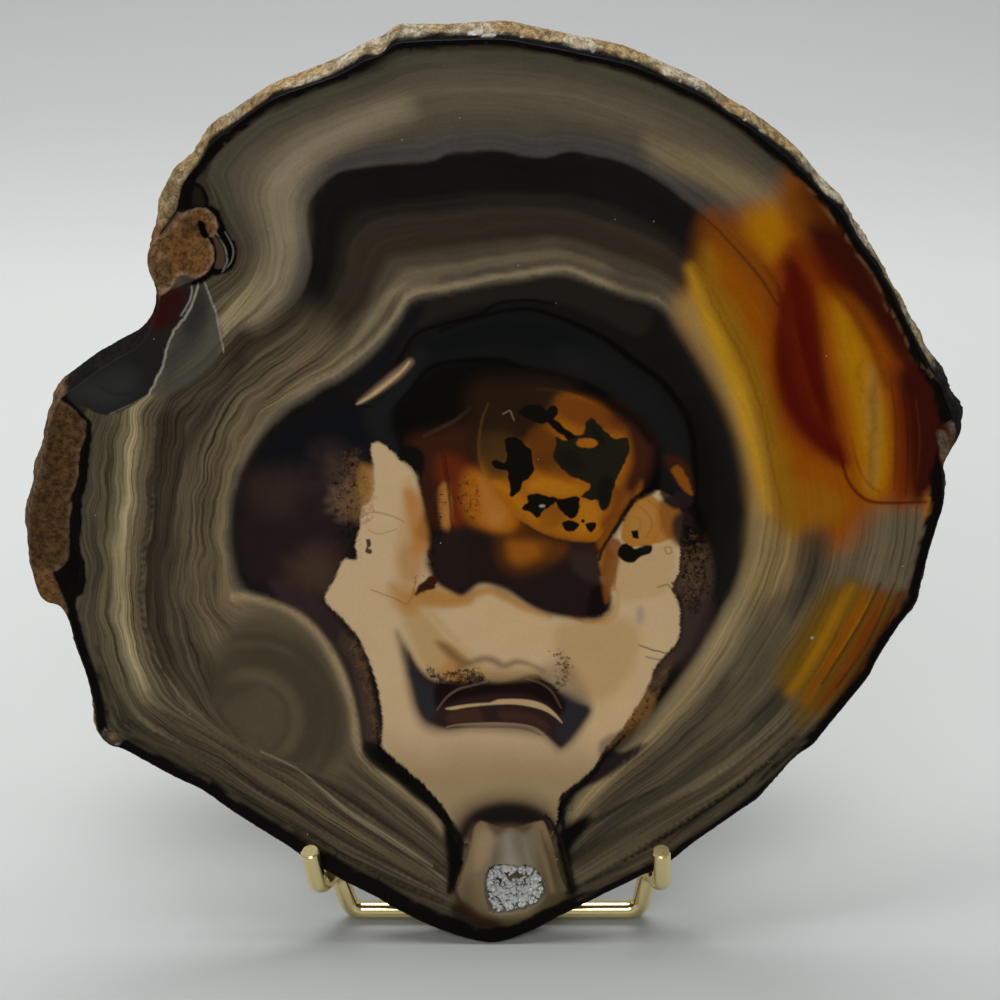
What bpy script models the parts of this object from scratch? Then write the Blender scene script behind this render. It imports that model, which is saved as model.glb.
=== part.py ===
"""Agate slice standing on a small bent-wire easel.

The slice is one solid stone: a flat polished front and back, and a rough natural
rim that slopes, because the nodule was cut a little off square.  A small hollow
near its foot is lined with a crust of quartz points.  The easel is three bent
wires: the front cradle, the back rest and the rear prop.

Z is up, the polished face looks along -Y, and the model stands on Z = 0 with the
origin under the middle of its bounding box.
"""
import math
import random

import bmesh
import bpy
from mathutils import Vector
from mathutils import geometry
from mathutils import noise

MM = 0.001

# Driving dimensions, in millimetres and degrees
SLICE_THICKNESS = 5.0
SLICE_LEAN = 14.0
RIM_RISE = 2.0
RIM_BULGE = 0.45
RIM_ROUGHNESS = 0.5
EDGE_CHAMFER = 0.22
TOE_CLEARANCE = 0.5

WIRE_DIAMETER = 3.0
JOIN_GAP = 0.3
FOOT_BAR_LEFT = -24.2
FOOT_BAR_RIGHT = 22.8
TOE_AHEAD_OF_BAR = 7.25
LEFT_ARM_HEIGHT = 9.75
RIGHT_ARM_HEIGHT = 10.2
ARM_LENGTH = 5.2
HOOK_TIP_HEIGHT = 18.3
HOOK_TIP_AHEAD = 6.9
BEND_RADIUS = 2.4

# Turn of each wire's eight-sided section, in degrees, that lays a flat on the floor
CRADLE_TURN = 22.45
PROP_TURN = 38.6

BACK_REST_HALF_WIDTH = 7.0
BACK_REST_TOP = 92.0
PROP_TOP = 65.0
PROP_FOOT_HALF_WIDTH = 8.4
PROP_FOOT_BEHIND = 57.0

POCKET_DEPTH = 3.0
CRUST_CLEARANCE = 0.42
CRUST_THICKNESS = 0.55
CRYSTAL_SPACING = 1.15
CRUST_REACH = 0.8
FAR_AWAY = 100.0

RIM_POINTS = 312
RIM_RINGS = 7

# The outlines below are in the pixels of a 1000 x 1000 picture, taken from in
# front and a little above, and these values say how a pixel lands on the slice.
PICTURE_CENTRE = 500.0
MM_PER_PIXEL = 0.155
PICTURE_DISTANCE = 450.0
PICTURE_ANGLE = math.radians(15.0)

# The polished face, clockwise from the corner below the reddish knob
FACE_OUTLINE = [
    (158, 292), (151, 277), (146, 262), (147, 248), (157, 237), (170, 226), (181, 212),
    (184, 198), (188, 179), (210, 147), (236, 124), (271, 99), (303, 85), (344, 70),
    (386, 48), (411, 41), (446, 39), (500, 38), (532, 43), (573, 51), (628, 64),
    (679, 85), (723, 108), (771, 144), (803, 172), (838, 207), (859, 242), (878, 268),
    (898, 305), (911, 331), (922, 354), (932, 372), (942, 385), (948, 405), (953, 424),
    (955, 440), (948, 455), (943, 469), (944, 493), (943, 507), (936, 529), (928, 556),
    (919, 590), (914, 604), (896, 630), (877, 660), (869, 676), (849, 701), (836, 717),
    (813, 743), (797, 755), (776, 776), (757, 797), (734, 814), (691, 845), (671, 861),
    (642, 876), (605, 894), (557, 918), (532, 931), (500, 942), (477, 941), (440, 930),
    (399, 911), (375, 897), (351, 885), (333, 875), (300, 855), (287, 846), (236, 814),
    (203, 791), (180, 780), (159, 769), (124, 750), (109, 745), (98, 732), (94, 704),
    (86, 675), (77, 649), (69, 622), (60, 607), (42, 599), (33, 575), (28, 539),
    (29, 515), (36, 484), (44, 455), (50, 421), (58, 400), (62, 386), (88, 362),
    (108, 347), (130, 335), (145, 319),
]

# Lumps that stand out of the rim: place in the picture, reach and height in mm
RIM_LUMPS = [
    ((958, 422), 4.6, 1.3),
    ((397, 34), 3.2, 0.9),
    ((40, 470), 9.0, 0.5),
    ((120, 340), 7.0, 0.5),
    ((815, 748), 5.0, 0.5),
    ((912, 606), 4.0, 0.5),
    ((204, 134), 5.0, 0.5),
    ((640, 52), 6.0, 0.4),
]

# The open hollow near the foot of the slice
POCKET_OUTLINE = [
    (490, 868), (512, 866), (535, 869), (545, 888), (543, 900), (524, 911),
    (496, 915), (488, 906), (485, 886),
]

# Pits in the rough matrix: place in the picture, then radius and depth in mm
MATRIX_PITS = [
    ((201, 229), 1.5, 0.9),
    ((177, 262), 1.1, 0.5),
    ((44, 505), 1.3, 0.6),
    ((56, 446), 1.0, 0.5),
    ((49, 563), 1.4, 0.6),
    ((68, 416), 0.9, 0.4),
]


def picture_to_slice(pixel):
    """Turn a picture pixel into millimetres across and up the polished face."""
    across = (pixel[0] - PICTURE_CENTRE) * MM_PER_PIXEL
    up = (PICTURE_CENTRE - pixel[1]) * MM_PER_PIXEL
    slope = math.sin(PICTURE_ANGLE)
    height = up * PICTURE_DISTANCE / (PICTURE_DISTANCE * math.cos(PICTURE_ANGLE) + up * slope)
    return Vector((across * (1.0 - height * slope / PICTURE_DISTANCE), height))


def smooth_loop(points, count):
    """Read evenly spaced points from a closed Catmull-Rom curve through points."""
    total = len(points)
    dense = []
    steps = 12
    for index in range(total):
        before, start, end, after = (points[(index + k) % total] for k in (-1, 0, 1, 2))
        for step in range(steps):
            t = step / steps
            dense.append(0.5 * (
                2.0 * start
                + (end - before) * t
                + (2.0 * before - 5.0 * start + 4.0 * end - after) * t * t
                + (3.0 * start - before - 3.0 * end + after) * t * t * t
            ))
    lengths = [0.0]
    for index in range(len(dense)):
        step_length = (dense[(index + 1) % len(dense)] - dense[index]).length
        lengths.append(lengths[-1] + step_length)
    result = []
    place = 0
    for index in range(count):
        target = lengths[-1] * index / count
        while lengths[place + 1] < target:
            place += 1
        share = (target - lengths[place]) / (lengths[place + 1] - lengths[place])
        result.append(dense[place].lerp(dense[(place + 1) % len(dense)], share))
    return result


def outward_normals(loop):
    """Give the outward direction at each point of a clockwise loop."""
    normals = []
    total = len(loop)
    for index in range(total):
        along = loop[(index + 1) % total] - loop[index - 1]
        normals.append(Vector((-along.y, along.x)).normalized())
    return normals


def make_material(name, colour, roughness, metallic=0.0):
    """Make a plain Principled material."""
    material = bpy.data.materials.new(name)
    material.use_nodes = True
    shader = material.node_tree.nodes["Principled BSDF"]
    shader.inputs["Base Color"].default_value = (*colour, 1.0)
    shader.inputs["Roughness"].default_value = roughness
    shader.inputs["Metallic"].default_value = metallic
    return material


def make_collection(name):
    """Make a collection linked to the scene."""
    collection = bpy.data.collections.new(name)
    bpy.context.scene.collection.children.link(collection)
    return collection


def object_from_bmesh(bm, name, collection, material=None):
    """Turn a bmesh in metres into a linked object."""
    bmesh.ops.recalc_face_normals(bm, faces=bm.faces)
    mesh = bpy.data.meshes.new(name)
    bm.to_mesh(mesh)
    bm.free()
    made = bpy.data.objects.new(name, mesh)
    collection.objects.link(made)
    if material is not None:
        mesh.materials.append(material)
    return made


def place_on_slice(made):
    """Lean an object drawn in the slice's own frame back as the slice leans."""
    made.rotation_euler = (-math.radians(SLICE_LEAN), 0.0, 0.0)
    made.location = slice_origin() * MM


def slice_origin():
    """Give the world place of the face's picture centre, in mm."""
    toe = picture_to_slice((PICTURE_CENTRE, max(pixel[1] for pixel in FACE_OUTLINE))).y
    lean = math.radians(SLICE_LEAN)
    return Vector((
        0.0,
        -TOE_AHEAD_OF_BAR - toe * math.sin(lean),
        TOE_CLEARANCE - toe * math.cos(lean),
    ))


def slice_point(across, height, depth):
    """Give the world place, in mm, of a point of the slice's own frame."""
    lean = math.radians(SLICE_LEAN)
    return slice_origin() + Vector((
        across,
        height * math.sin(lean) + depth * math.cos(lean),
        height * math.cos(lean) - depth * math.sin(lean),
    ))


def lump_height(point):
    """Give how far the rim's lumps push a rim point out, in mm."""
    height = 0.0
    for pixel, reach, rise in RIM_LUMPS:
        distance = (picture_to_slice(pixel) - point).length / reach
        if distance < 1.0:
            height += rise * (1.0 - distance * distance) ** 2
    return height


def make_slice(collection, cutters):
    """Loft the stone from its front outline to its back one, then cut its hollows."""
    loop = smooth_loop([picture_to_slice(pixel) for pixel in FACE_OUTLINE], RIM_POINTS)
    normals = outward_normals(loop)
    bm = bmesh.new()
    rings = []
    stations = [(0.0, -EDGE_CHAMFER)]
    stations += [(index / (RIM_RINGS - 1), 0.0) for index in range(RIM_RINGS)]
    stations += [(1.0, -EDGE_CHAMFER)]
    for place, (share, inset) in enumerate(stations):
        on_face = inset < 0.0
        depth = share * SLICE_THICKNESS
        if not on_face:
            depth = EDGE_CHAMFER + share * (SLICE_THICKNESS - 2.0 * EDGE_CHAMFER)
        belly = math.sin(math.pi * share)
        ring = []
        for point, normal in zip(loop, normals):
            seed = Vector((point.x * 0.32, point.y * 0.32, depth * 0.45))
            rough = noise.noise(seed) + 0.5 * noise.noise(seed * 2.3)
            out = inset + belly * (RIM_BULGE + RIM_ROUGHNESS * rough)
            out += lump_height(point) * math.sin(math.pi * (0.1 + 0.8 * share))
            back_drift = 0.5 * noise.noise(Vector((point.x * 0.08, point.y * 0.08, 7.0)))
            spot = point + normal * (out + share * back_drift)
            spot.y += share * RIM_RISE
            ring.append(bm.verts.new((spot.x * MM, depth * MM, spot.y * MM)))
        rings.append(ring)
    for near, far in zip(rings, rings[1:]):
        for index in range(RIM_POINTS):
            after = (index + 1) % RIM_POINTS
            bm.faces.new((near[index], near[after], far[after], far[index]))
    bm.faces.new(rings[0])
    bm.faces.new(list(reversed(rings[-1])))
    stone = make_material("agate", (0.22, 0.16, 0.09), 0.15)
    made = object_from_bmesh(bm, "agate_slice", collection, stone)
    place_on_slice(made)
    for name, cutter in (("pocket_cut", pocket_cutter(cutters)), ("pit_cut", pit_cutter(cutters))):
        cut = made.modifiers.new(name, "BOOLEAN")
        cut.operation = "DIFFERENCE"
        cut.solver = "EXACT"
        cut.object = cutter
    return made


def pocket_ring(share):
    """Give the hollow's outline in mm, shrunk about its middle to a share of its size."""
    outline = smooth_loop([picture_to_slice(pixel) for pixel in POCKET_OUTLINE], 28)
    middle = sum(outline, Vector((0.0, 0.0))) / len(outline)
    return [middle + (point - middle) * share for point in outline]


def pocket_depth(share):
    """Give the hollow's depth in mm at a share of the way from its middle to its edge."""
    return POCKET_DEPTH * math.sqrt(max(0.0, 1.0 - share ** 3.0))


def pocket_cutter(cutters):
    """Make the bowl that is cut out of the face."""
    bm = bmesh.new()
    shares = [(1.0, -1.0), (1.0, 0.15)]
    shares += [(share, pocket_depth(share)) for share in (0.97, 0.9, 0.78, 0.6, 0.35)]
    rings = []
    for share, depth in shares:
        rings.append([
            bm.verts.new((point.x * MM, depth * MM, point.y * MM)) for point in pocket_ring(share)
        ])
    for near, far in zip(rings, rings[1:]):
        for index in range(len(near)):
            after = (index + 1) % len(near)
            bm.faces.new((near[index], near[after], far[after], far[index]))
    bm.faces.new(rings[0])
    bm.faces.new(list(reversed(rings[-1])))
    return finish_cutter(bm, "pocket_cutter", cutters)


def pit_cutter(cutters):
    """Make the small lumps that leave pits in the rough matrix."""
    bm = bmesh.new()
    for pixel, radius, depth in MATRIX_PITS:
        middle = picture_to_slice(pixel)
        before = set(bm.verts)
        bmesh.ops.create_icosphere(bm, subdivisions=2, radius=radius * MM)
        for vertex in set(bm.verts) - before:
            wobble = 1.0 + 0.25 * noise.noise(vertex.co / MM * 0.9 + Vector((middle.x, middle.y, 0.0)))
            vertex.co *= wobble
            vertex.co.y *= depth / radius
            vertex.co += Vector((middle.x * MM, 0.0, middle.y * MM))
    return finish_cutter(bm, "pit_cutter", cutters)


def finish_cutter(bm, name, cutters):
    """Link a cutter, hidden from renders and drawn as wire."""
    cutter = object_from_bmesh(bm, name, cutters)
    cutter.hide_render = True
    cutter.display_type = "WIRE"
    place_on_slice(cutter)
    return cutter


def bowl_share(point, edge, middle):
    """Give how far a point lies from the hollow's middle, as a share of the way to its edge."""
    reach = point - middle
    far = middle + reach * (FAR_AWAY / max(reach.length, 1e-9))
    for start, end in zip(edge, edge[1:] + edge[:1]):
        crossing = geometry.intersect_line_line_2d(middle, far, start, end)
        if crossing is not None:
            return reach.length / (crossing - middle).length
    return 0.0


def make_crust(collection):
    """Line the hollow with six-sided quartz points that share one base."""
    random.seed(11)
    edge = pocket_ring(1.0)
    middle = sum(edge, Vector((0.0, 0.0))) / len(edge)
    bm = bmesh.new()
    corners = {}

    def floor_depth(point):
        return pocket_depth(bowl_share(point, edge, middle)) - CRUST_CLEARANCE

    def corner(point):
        key = (round(point.x, 3), round(point.y, 3))
        if key not in corners:
            floor = floor_depth(point)
            top = floor - CRUST_THICKNESS - random.uniform(0.0, 0.18)
            corners[key] = (
                bm.verts.new((point.x * MM, top * MM, point.y * MM)),
                bm.verts.new((point.x * MM, floor * MM, point.y * MM)),
            )
        return corners[key]

    side = CRYSTAL_SPACING / math.sqrt(3.0)
    rim_edges = {}
    for row in range(-5, 6):
        for column in range(-6, 7):
            centre = middle + Vector((
                (column + 0.5 * (row % 2)) * CRYSTAL_SPACING,
                row * 1.5 * side,
            ))
            hexagon = [
                centre + side * Vector((math.sin(math.radians(60 * k)), math.cos(math.radians(60 * k))))
                for k in range(6)
            ]
            if max(bowl_share(point, edge, middle) for point in hexagon) > CRUST_REACH:
                continue
            ring = [corner(point) for point in hexagon]
            lean = Vector((random.uniform(-0.22, 0.22), random.uniform(-0.22, 0.22)))
            tip = centre + lean
            rise = random.uniform(0.35, 0.75)
            top = floor_depth(centre) - CRUST_THICKNESS - rise
            peak = bm.verts.new((tip.x * MM, top * MM, tip.y * MM))
            for index in range(6):
                first = ring[index]
                second = ring[(index + 1) % 6]
                bm.faces.new((first[0], second[0], peak))
                pair = frozenset((first, second))
                rim_edges[pair] = None if pair in rim_edges else (first, second)
            bm.faces.new([pair[1] for pair in reversed(ring)])
    for pair in rim_edges.values():
        if pair is not None:
            first, second = pair
            bm.faces.new((second[0], first[0], first[1], second[1]))
    quartz = make_material("quartz", (0.78, 0.77, 0.73), 0.1)
    made = object_from_bmesh(bm, "quartz_crust", collection, quartz)
    place_on_slice(made)
    return made


def rounded_path(corners, radius):
    """Follow straight runs between corners, with each inner corner turned into an arc."""
    path = [corners[0]]
    for before, corner, after in zip(corners, corners[1:], corners[2:]):
        back = (before - corner).normalized()
        on = (after - corner).normalized()
        half = 0.5 * back.angle(on)
        run = radius / math.tan(half)
        middle = corner + (back + on).normalized() * (radius / math.sin(half))
        start = corner + back * run - middle
        end = corner + on * run - middle
        sweep = start.angle(end)
        steps = max(3, round(math.degrees(sweep) / 18.0))
        for step in range(steps + 1):
            t = step / steps
            arm = (math.sin((1.0 - t) * sweep) * start + math.sin(t * sweep) * end) / math.sin(sweep)
            path.append(middle + arm)
    path.append(corners[-1])
    return path


def make_wire(name, path, turn, collection, material):
    """Make one bent wire as an eight-sided curve along a path in mm."""
    curve = bpy.data.curves.new(name, "CURVE")
    curve.dimensions = "3D"
    curve.bevel_depth = 0.5 * WIRE_DIAMETER * MM
    curve.bevel_resolution = 2
    curve.use_fill_caps = True
    spline = curve.splines.new("POLY")
    spline.points.add(len(path) - 1)
    for control, point in zip(spline.points, path):
        control.co = (*(point * MM), 1.0)
        control.tilt = math.radians(turn)
    curve.materials.append(material)
    made = bpy.data.objects.new(name, curve)
    collection.objects.link(made)
    return made


def wire_centre_height():
    """Give the height of a wire's centre when one of its flats lies on the floor."""
    return 0.5 * WIRE_DIAMETER * math.cos(math.radians(22.5))


def make_cradle(collection, material):
    """Bend the front wire: hook, arm, leg, foot bar, leg, arm, hook."""
    low = wire_centre_height()
    corners = [
        Vector((FOOT_BAR_LEFT - 6.0, -HOOK_TIP_AHEAD, HOOK_TIP_HEIGHT)),
        Vector((FOOT_BAR_LEFT - 4.9, -ARM_LENGTH, LEFT_ARM_HEIGHT)),
        Vector((FOOT_BAR_LEFT - 2.4, 0.0, LEFT_ARM_HEIGHT)),
        Vector((FOOT_BAR_LEFT, 0.0, low)),
        Vector((FOOT_BAR_RIGHT, 0.0, low)),
        Vector((FOOT_BAR_RIGHT + 1.4, 0.0, RIGHT_ARM_HEIGHT)),
        Vector((FOOT_BAR_RIGHT + 3.2, -ARM_LENGTH, RIGHT_ARM_HEIGHT)),
        Vector((FOOT_BAR_RIGHT + 2.8, -HOOK_TIP_AHEAD, HOOK_TIP_HEIGHT)),
    ]
    path = rounded_path(corners, BEND_RADIUS)
    return make_wire("front_cradle", path, CRADLE_TURN, collection, material)


def make_back_rest(collection, material):
    """Bend the hairpin that stands on the foot bar and carries the slice's back."""
    depth = SLICE_THICKNESS + JOIN_GAP + 0.5 * WIRE_DIAMETER
    lean = math.radians(SLICE_LEAN)
    base_height = wire_centre_height() + 0.5 * WIRE_DIAMETER + JOIN_GAP

    def spot(across, world_height):
        height = (world_height - slice_origin().z + depth * math.sin(lean)) / math.cos(lean)
        return slice_point(across, height, depth)

    corners = [
        spot(-BACK_REST_HALF_WIDTH, base_height),
        spot(-BACK_REST_HALF_WIDTH, BACK_REST_TOP),
        spot(BACK_REST_HALF_WIDTH, BACK_REST_TOP),
        spot(BACK_REST_HALF_WIDTH, base_height),
    ]
    path = rounded_path(corners, BACK_REST_HALF_WIDTH * 0.98)
    return make_wire("back_rest", path, 0.0, collection, material), spot(0.0, PROP_TOP)


def make_prop(collection, material, joint):
    """Bend the hairpin that runs from the back rest down to the table behind."""
    low = wire_centre_height()
    top_y = joint.y + WIRE_DIAMETER
    corners = [
        Vector((-BACK_REST_HALF_WIDTH, top_y, PROP_TOP)),
        Vector((-PROP_FOOT_HALF_WIDTH, PROP_FOOT_BEHIND, low)),
        Vector((PROP_FOOT_HALF_WIDTH, PROP_FOOT_BEHIND, low)),
        Vector((BACK_REST_HALF_WIDTH, top_y, PROP_TOP)),
    ]
    path = rounded_path(corners, BEND_RADIUS)
    return make_wire("rear_prop", path, PROP_TURN, collection, material)


def centre_on_floor(parts):
    """Move every part so that the bounding box stands centred on the origin."""
    bpy.context.view_layer.update()
    depsgraph = bpy.context.evaluated_depsgraph_get()
    low = Vector((math.inf,) * 3)
    high = Vector((-math.inf,) * 3)
    for part in parts:
        evaluated = part.evaluated_get(depsgraph)
        mesh = evaluated.to_mesh()
        for vertex in mesh.vertices:
            place = part.matrix_world @ vertex.co
            low = Vector(map(min, low, place))
            high = Vector(map(max, high, place))
        evaluated.to_mesh_clear()
    shift = Vector((-0.5 * (low.x + high.x), -0.5 * (low.y + high.y), -low.z))
    for made in bpy.context.scene.objects:
        made.location += shift


def build():
    """Model the whole object."""
    for old in list(bpy.data.objects):
        bpy.data.objects.remove(old, do_unlink=True)
    parts = make_collection("agate_slice_on_stand")
    cutters = make_collection("cutters")
    gilt = make_material("gold_wire", (0.83, 0.68, 0.34), 0.18, 1.0)
    made = [make_slice(parts, cutters), make_crust(parts), make_cradle(parts, gilt)]
    rest, joint = make_back_rest(parts, gilt)
    made += [rest, make_prop(parts, gilt, joint)]
    centre_on_floor(made)


build()
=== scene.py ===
"""Looks of the agate slice and its wire easel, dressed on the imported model.

The stone's markings are drawn by named outlines in the pixels of a 1000 x 1000
picture taken from in front and above.  Each vertex of the polished faces reads
its colour from those outlines, and the material adds fine bands, moss and grain.
"""
import math
import random

import bmesh
import bpy
import numpy as np
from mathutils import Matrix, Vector
from mathutils import geometry
from mathutils import kdtree
from mathutils import noise

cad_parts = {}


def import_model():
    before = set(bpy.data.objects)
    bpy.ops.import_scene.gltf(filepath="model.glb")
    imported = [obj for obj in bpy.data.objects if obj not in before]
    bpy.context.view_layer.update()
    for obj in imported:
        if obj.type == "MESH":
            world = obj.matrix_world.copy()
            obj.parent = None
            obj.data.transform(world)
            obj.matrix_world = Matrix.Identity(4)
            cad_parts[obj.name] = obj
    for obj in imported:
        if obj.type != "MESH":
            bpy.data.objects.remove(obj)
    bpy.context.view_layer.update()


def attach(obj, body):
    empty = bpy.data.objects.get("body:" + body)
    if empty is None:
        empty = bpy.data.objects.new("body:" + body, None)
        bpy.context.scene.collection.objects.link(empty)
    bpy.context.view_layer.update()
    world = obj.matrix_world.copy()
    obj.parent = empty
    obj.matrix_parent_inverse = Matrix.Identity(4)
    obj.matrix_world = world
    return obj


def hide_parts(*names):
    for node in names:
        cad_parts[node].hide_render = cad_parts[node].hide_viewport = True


MM = 0.001

# Where a picture pixel lands on the polished face, in pixels, mm and radians
PICTURE_SIZE = 1000.0
PICTURE_CENTRE = 500.0
MM_PER_PIXEL = 0.155
PICTURE_DISTANCE = 450.0
PICTURE_ANGLE = math.radians(15.0)
CLOCK_MIDDLE = (500.0, 480.0)

# The stone as it is packed, in mm and radians
SLICE_LEAN = math.radians(14.0)
SLICE_ORIGIN = (1.264, -14.378, 72.247)
SLICE_THICKNESS = 5.0
RIM_RISE = 2.0
RIM_BULGE = 0.45
RIM_ROUGHNESS = 0.5
EDGE_CHAMFER = 0.22
RIM_POINTS = 1100
HALF_RINGS = 7
POCKET_DEPTH = 3.0
POCKET_POINTS = 120

# Edges that turn by more than this many degrees stay sharp
SHARP_RIM_ANGLE = 38.0
SHARP_WIRE_ANGLE = 40.0
SHARP_CRYSTAL_ANGLE = 10.0

# Spacing of the face's vertices, in picture pixels
HEART_SPACING = 2.1
BAND_SPACING = 4.3
BACK_HEART_SPACING = 2.8
BACK_BAND_SPACING = 5.0
FRONT_MARGIN = 2.6
BACK_MARGIN = 7.0
# Rows of vertices along the rind
FRINGE_DEPTHS = (3.2, 5.8, 8.6, 11.6, 15.0, 19.0)
FRINGE_CELL = 2.2
# Shift of the close grid, so that its points miss the wide grid's
CLOSE_SHIFT = 0.3
# Rows of vertices along crisp edges, and along two growth lines by their number and shifts
CRISP_EDGE = 2.3
ROW_SPACING = 1.7
ROW_CELL = 1.0
ROW_CLEARANCE = 1.1
GROWTH_ROWS = ((2, (-2.0, 0.0, 2.0)), (4, (-1.5, 1.0, 5.0)))
GROWTH_ROW_POINTS = 900
# Every third point of the rim is enough to measure from
EDGE_SKIP = 3

# How many waves a ripple adds up, and the wave lengths of a jagged outline in pixels
RIPPLE_WAVES = 6
JAG_WAVE = 9.0
FINE_JAG_WAVE = 3.5
# Made-up variation: size, seed and wave length in pixels
BAND_RIPPLES = ((0.045, 5, 60.0), (0.009, 6, 17.0))
SHADE_RIPPLES = ((0.05, 9, 120.0),)
RIND_RIPPLES = ((0.12, 12, 40.0), (0.04, 13, 12.0))
# Pixels for one growth step outside the first line and inside the last one
OUTER_STEP = 12.0
INNER_STEP = 40.0

# How finely the bands are lined, and how bright the face stands in its light
FINE_LINES = 9.0
FACE_GAIN = 1.5
# The stored place of a vertex: hundreds of pixels, and about the same from front to back
PLACE_PIXELS = 100.0
PLACE_DEPTH = 15.5

# The quartz points: how many, how far out, turn from one to the next, and radii in mm
CRYSTAL_COUNT = 230
CRYSTAL_REACH = 0.93
CRYSTAL_TURN = 2.39996
CRYSTAL_RADII = (0.16, 0.24, 0.34, 0.46)
CRYSTAL_SEED = 23

# The easel's wires: node, corners in mm, bend radius, whether drawn from the stand's place
WIRE_DIAMETER = 3.0
WIRE_SIDES = 24
WIRE_BEND_STEP = 5.0
WIRE_END_TRIM = 0.16
STAND_PLACE = (1.264, -25.016, 0.0)
WIRES = [
    ("front_cradle", [
        (-30.2, -6.9, 18.3), (-29.1, -5.2, 9.75), (-26.6, 0.0, 9.75), (-24.2, 0.0, 1.5),
        (22.8, 0.0, 1.5), (24.2, 0.0, 10.2), (26.0, -5.2, 10.2), (25.6, -6.9, 18.3),
    ], 2.4, True),
    ("back_rest", [
        (-5.74, -24.59, 3.19), (-5.74, -4.1, 85.34), (-5.74, -2.26, 92.7), (8.26, -2.26, 92.7),
        (8.26, -4.1, 85.34), (8.26, -24.59, 3.19),
    ], 6.86, False),
    ("rear_prop", [
        (-5.74, -6.18, 65.0), (-7.14, 31.98, 1.5), (9.66, 31.98, 1.5), (8.26, -6.18, 65.0),
    ], 2.4, False),
]

# The floor sheet in mm: flat with fine and wide rings, then bent up to a far wall
FLOOR_FINE_REACH = 160
FLOOR_FINE_STEP = 8
FLOOR_REACH = 640
FLOOR_STEP = 20
FLOOR_BEND = 160.0
FLOOR_BEND_STEPS = 12
FLOOR_WALL = 1000.0
FLOOR_SIDES = 96
# How far back on the floor, in mm, and the painted shade there: the light's falloff painted into
# the paper's colour
FLOOR_PAINTED_FALLOFF = (
    (-60.0, 0.0, 100.0, 160.0, 223.0, 272.0, 328.0, 389.0),
    (0.86, 0.9, 0.98, 1.0, 1.0, 0.9, 0.81, 0.79),
)
# Painted soft shadows on the floor: middle and reach, across and back, in mm, and strength
FLOOR_PAINTED_SHADOWS = (
    ((-6.0, 2.0), (58.0, 15.0), 0.5),
    ((0.0, -20.0), (38.0, 13.0), 0.3),
)

# Soft lights: name, place, aim and size in mm, and power in watts
LIGHTS = (
    ("overhead", (-60.0, 190.0, 700.0), (0.0, 40.0, 0.0), (700.0, 450.0), 7.1),
    ("front_fill", (-120.0, -620.0, 560.0), (0.0, 0.0, 60.0), (500.0, 300.0), 2.1),
)
WORLD_GREY = 0.06

# The camera, its places in mm
CAMERA_PLACE = (1.264, -407.96, 290.41)
CAMERA_TARGET = (1.264, -14.378, 72.247)
CAMERA_LENS = 104.5
CAMERA_SENSOR = 36.0
CAMERA_NEAR = 0.01

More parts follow.
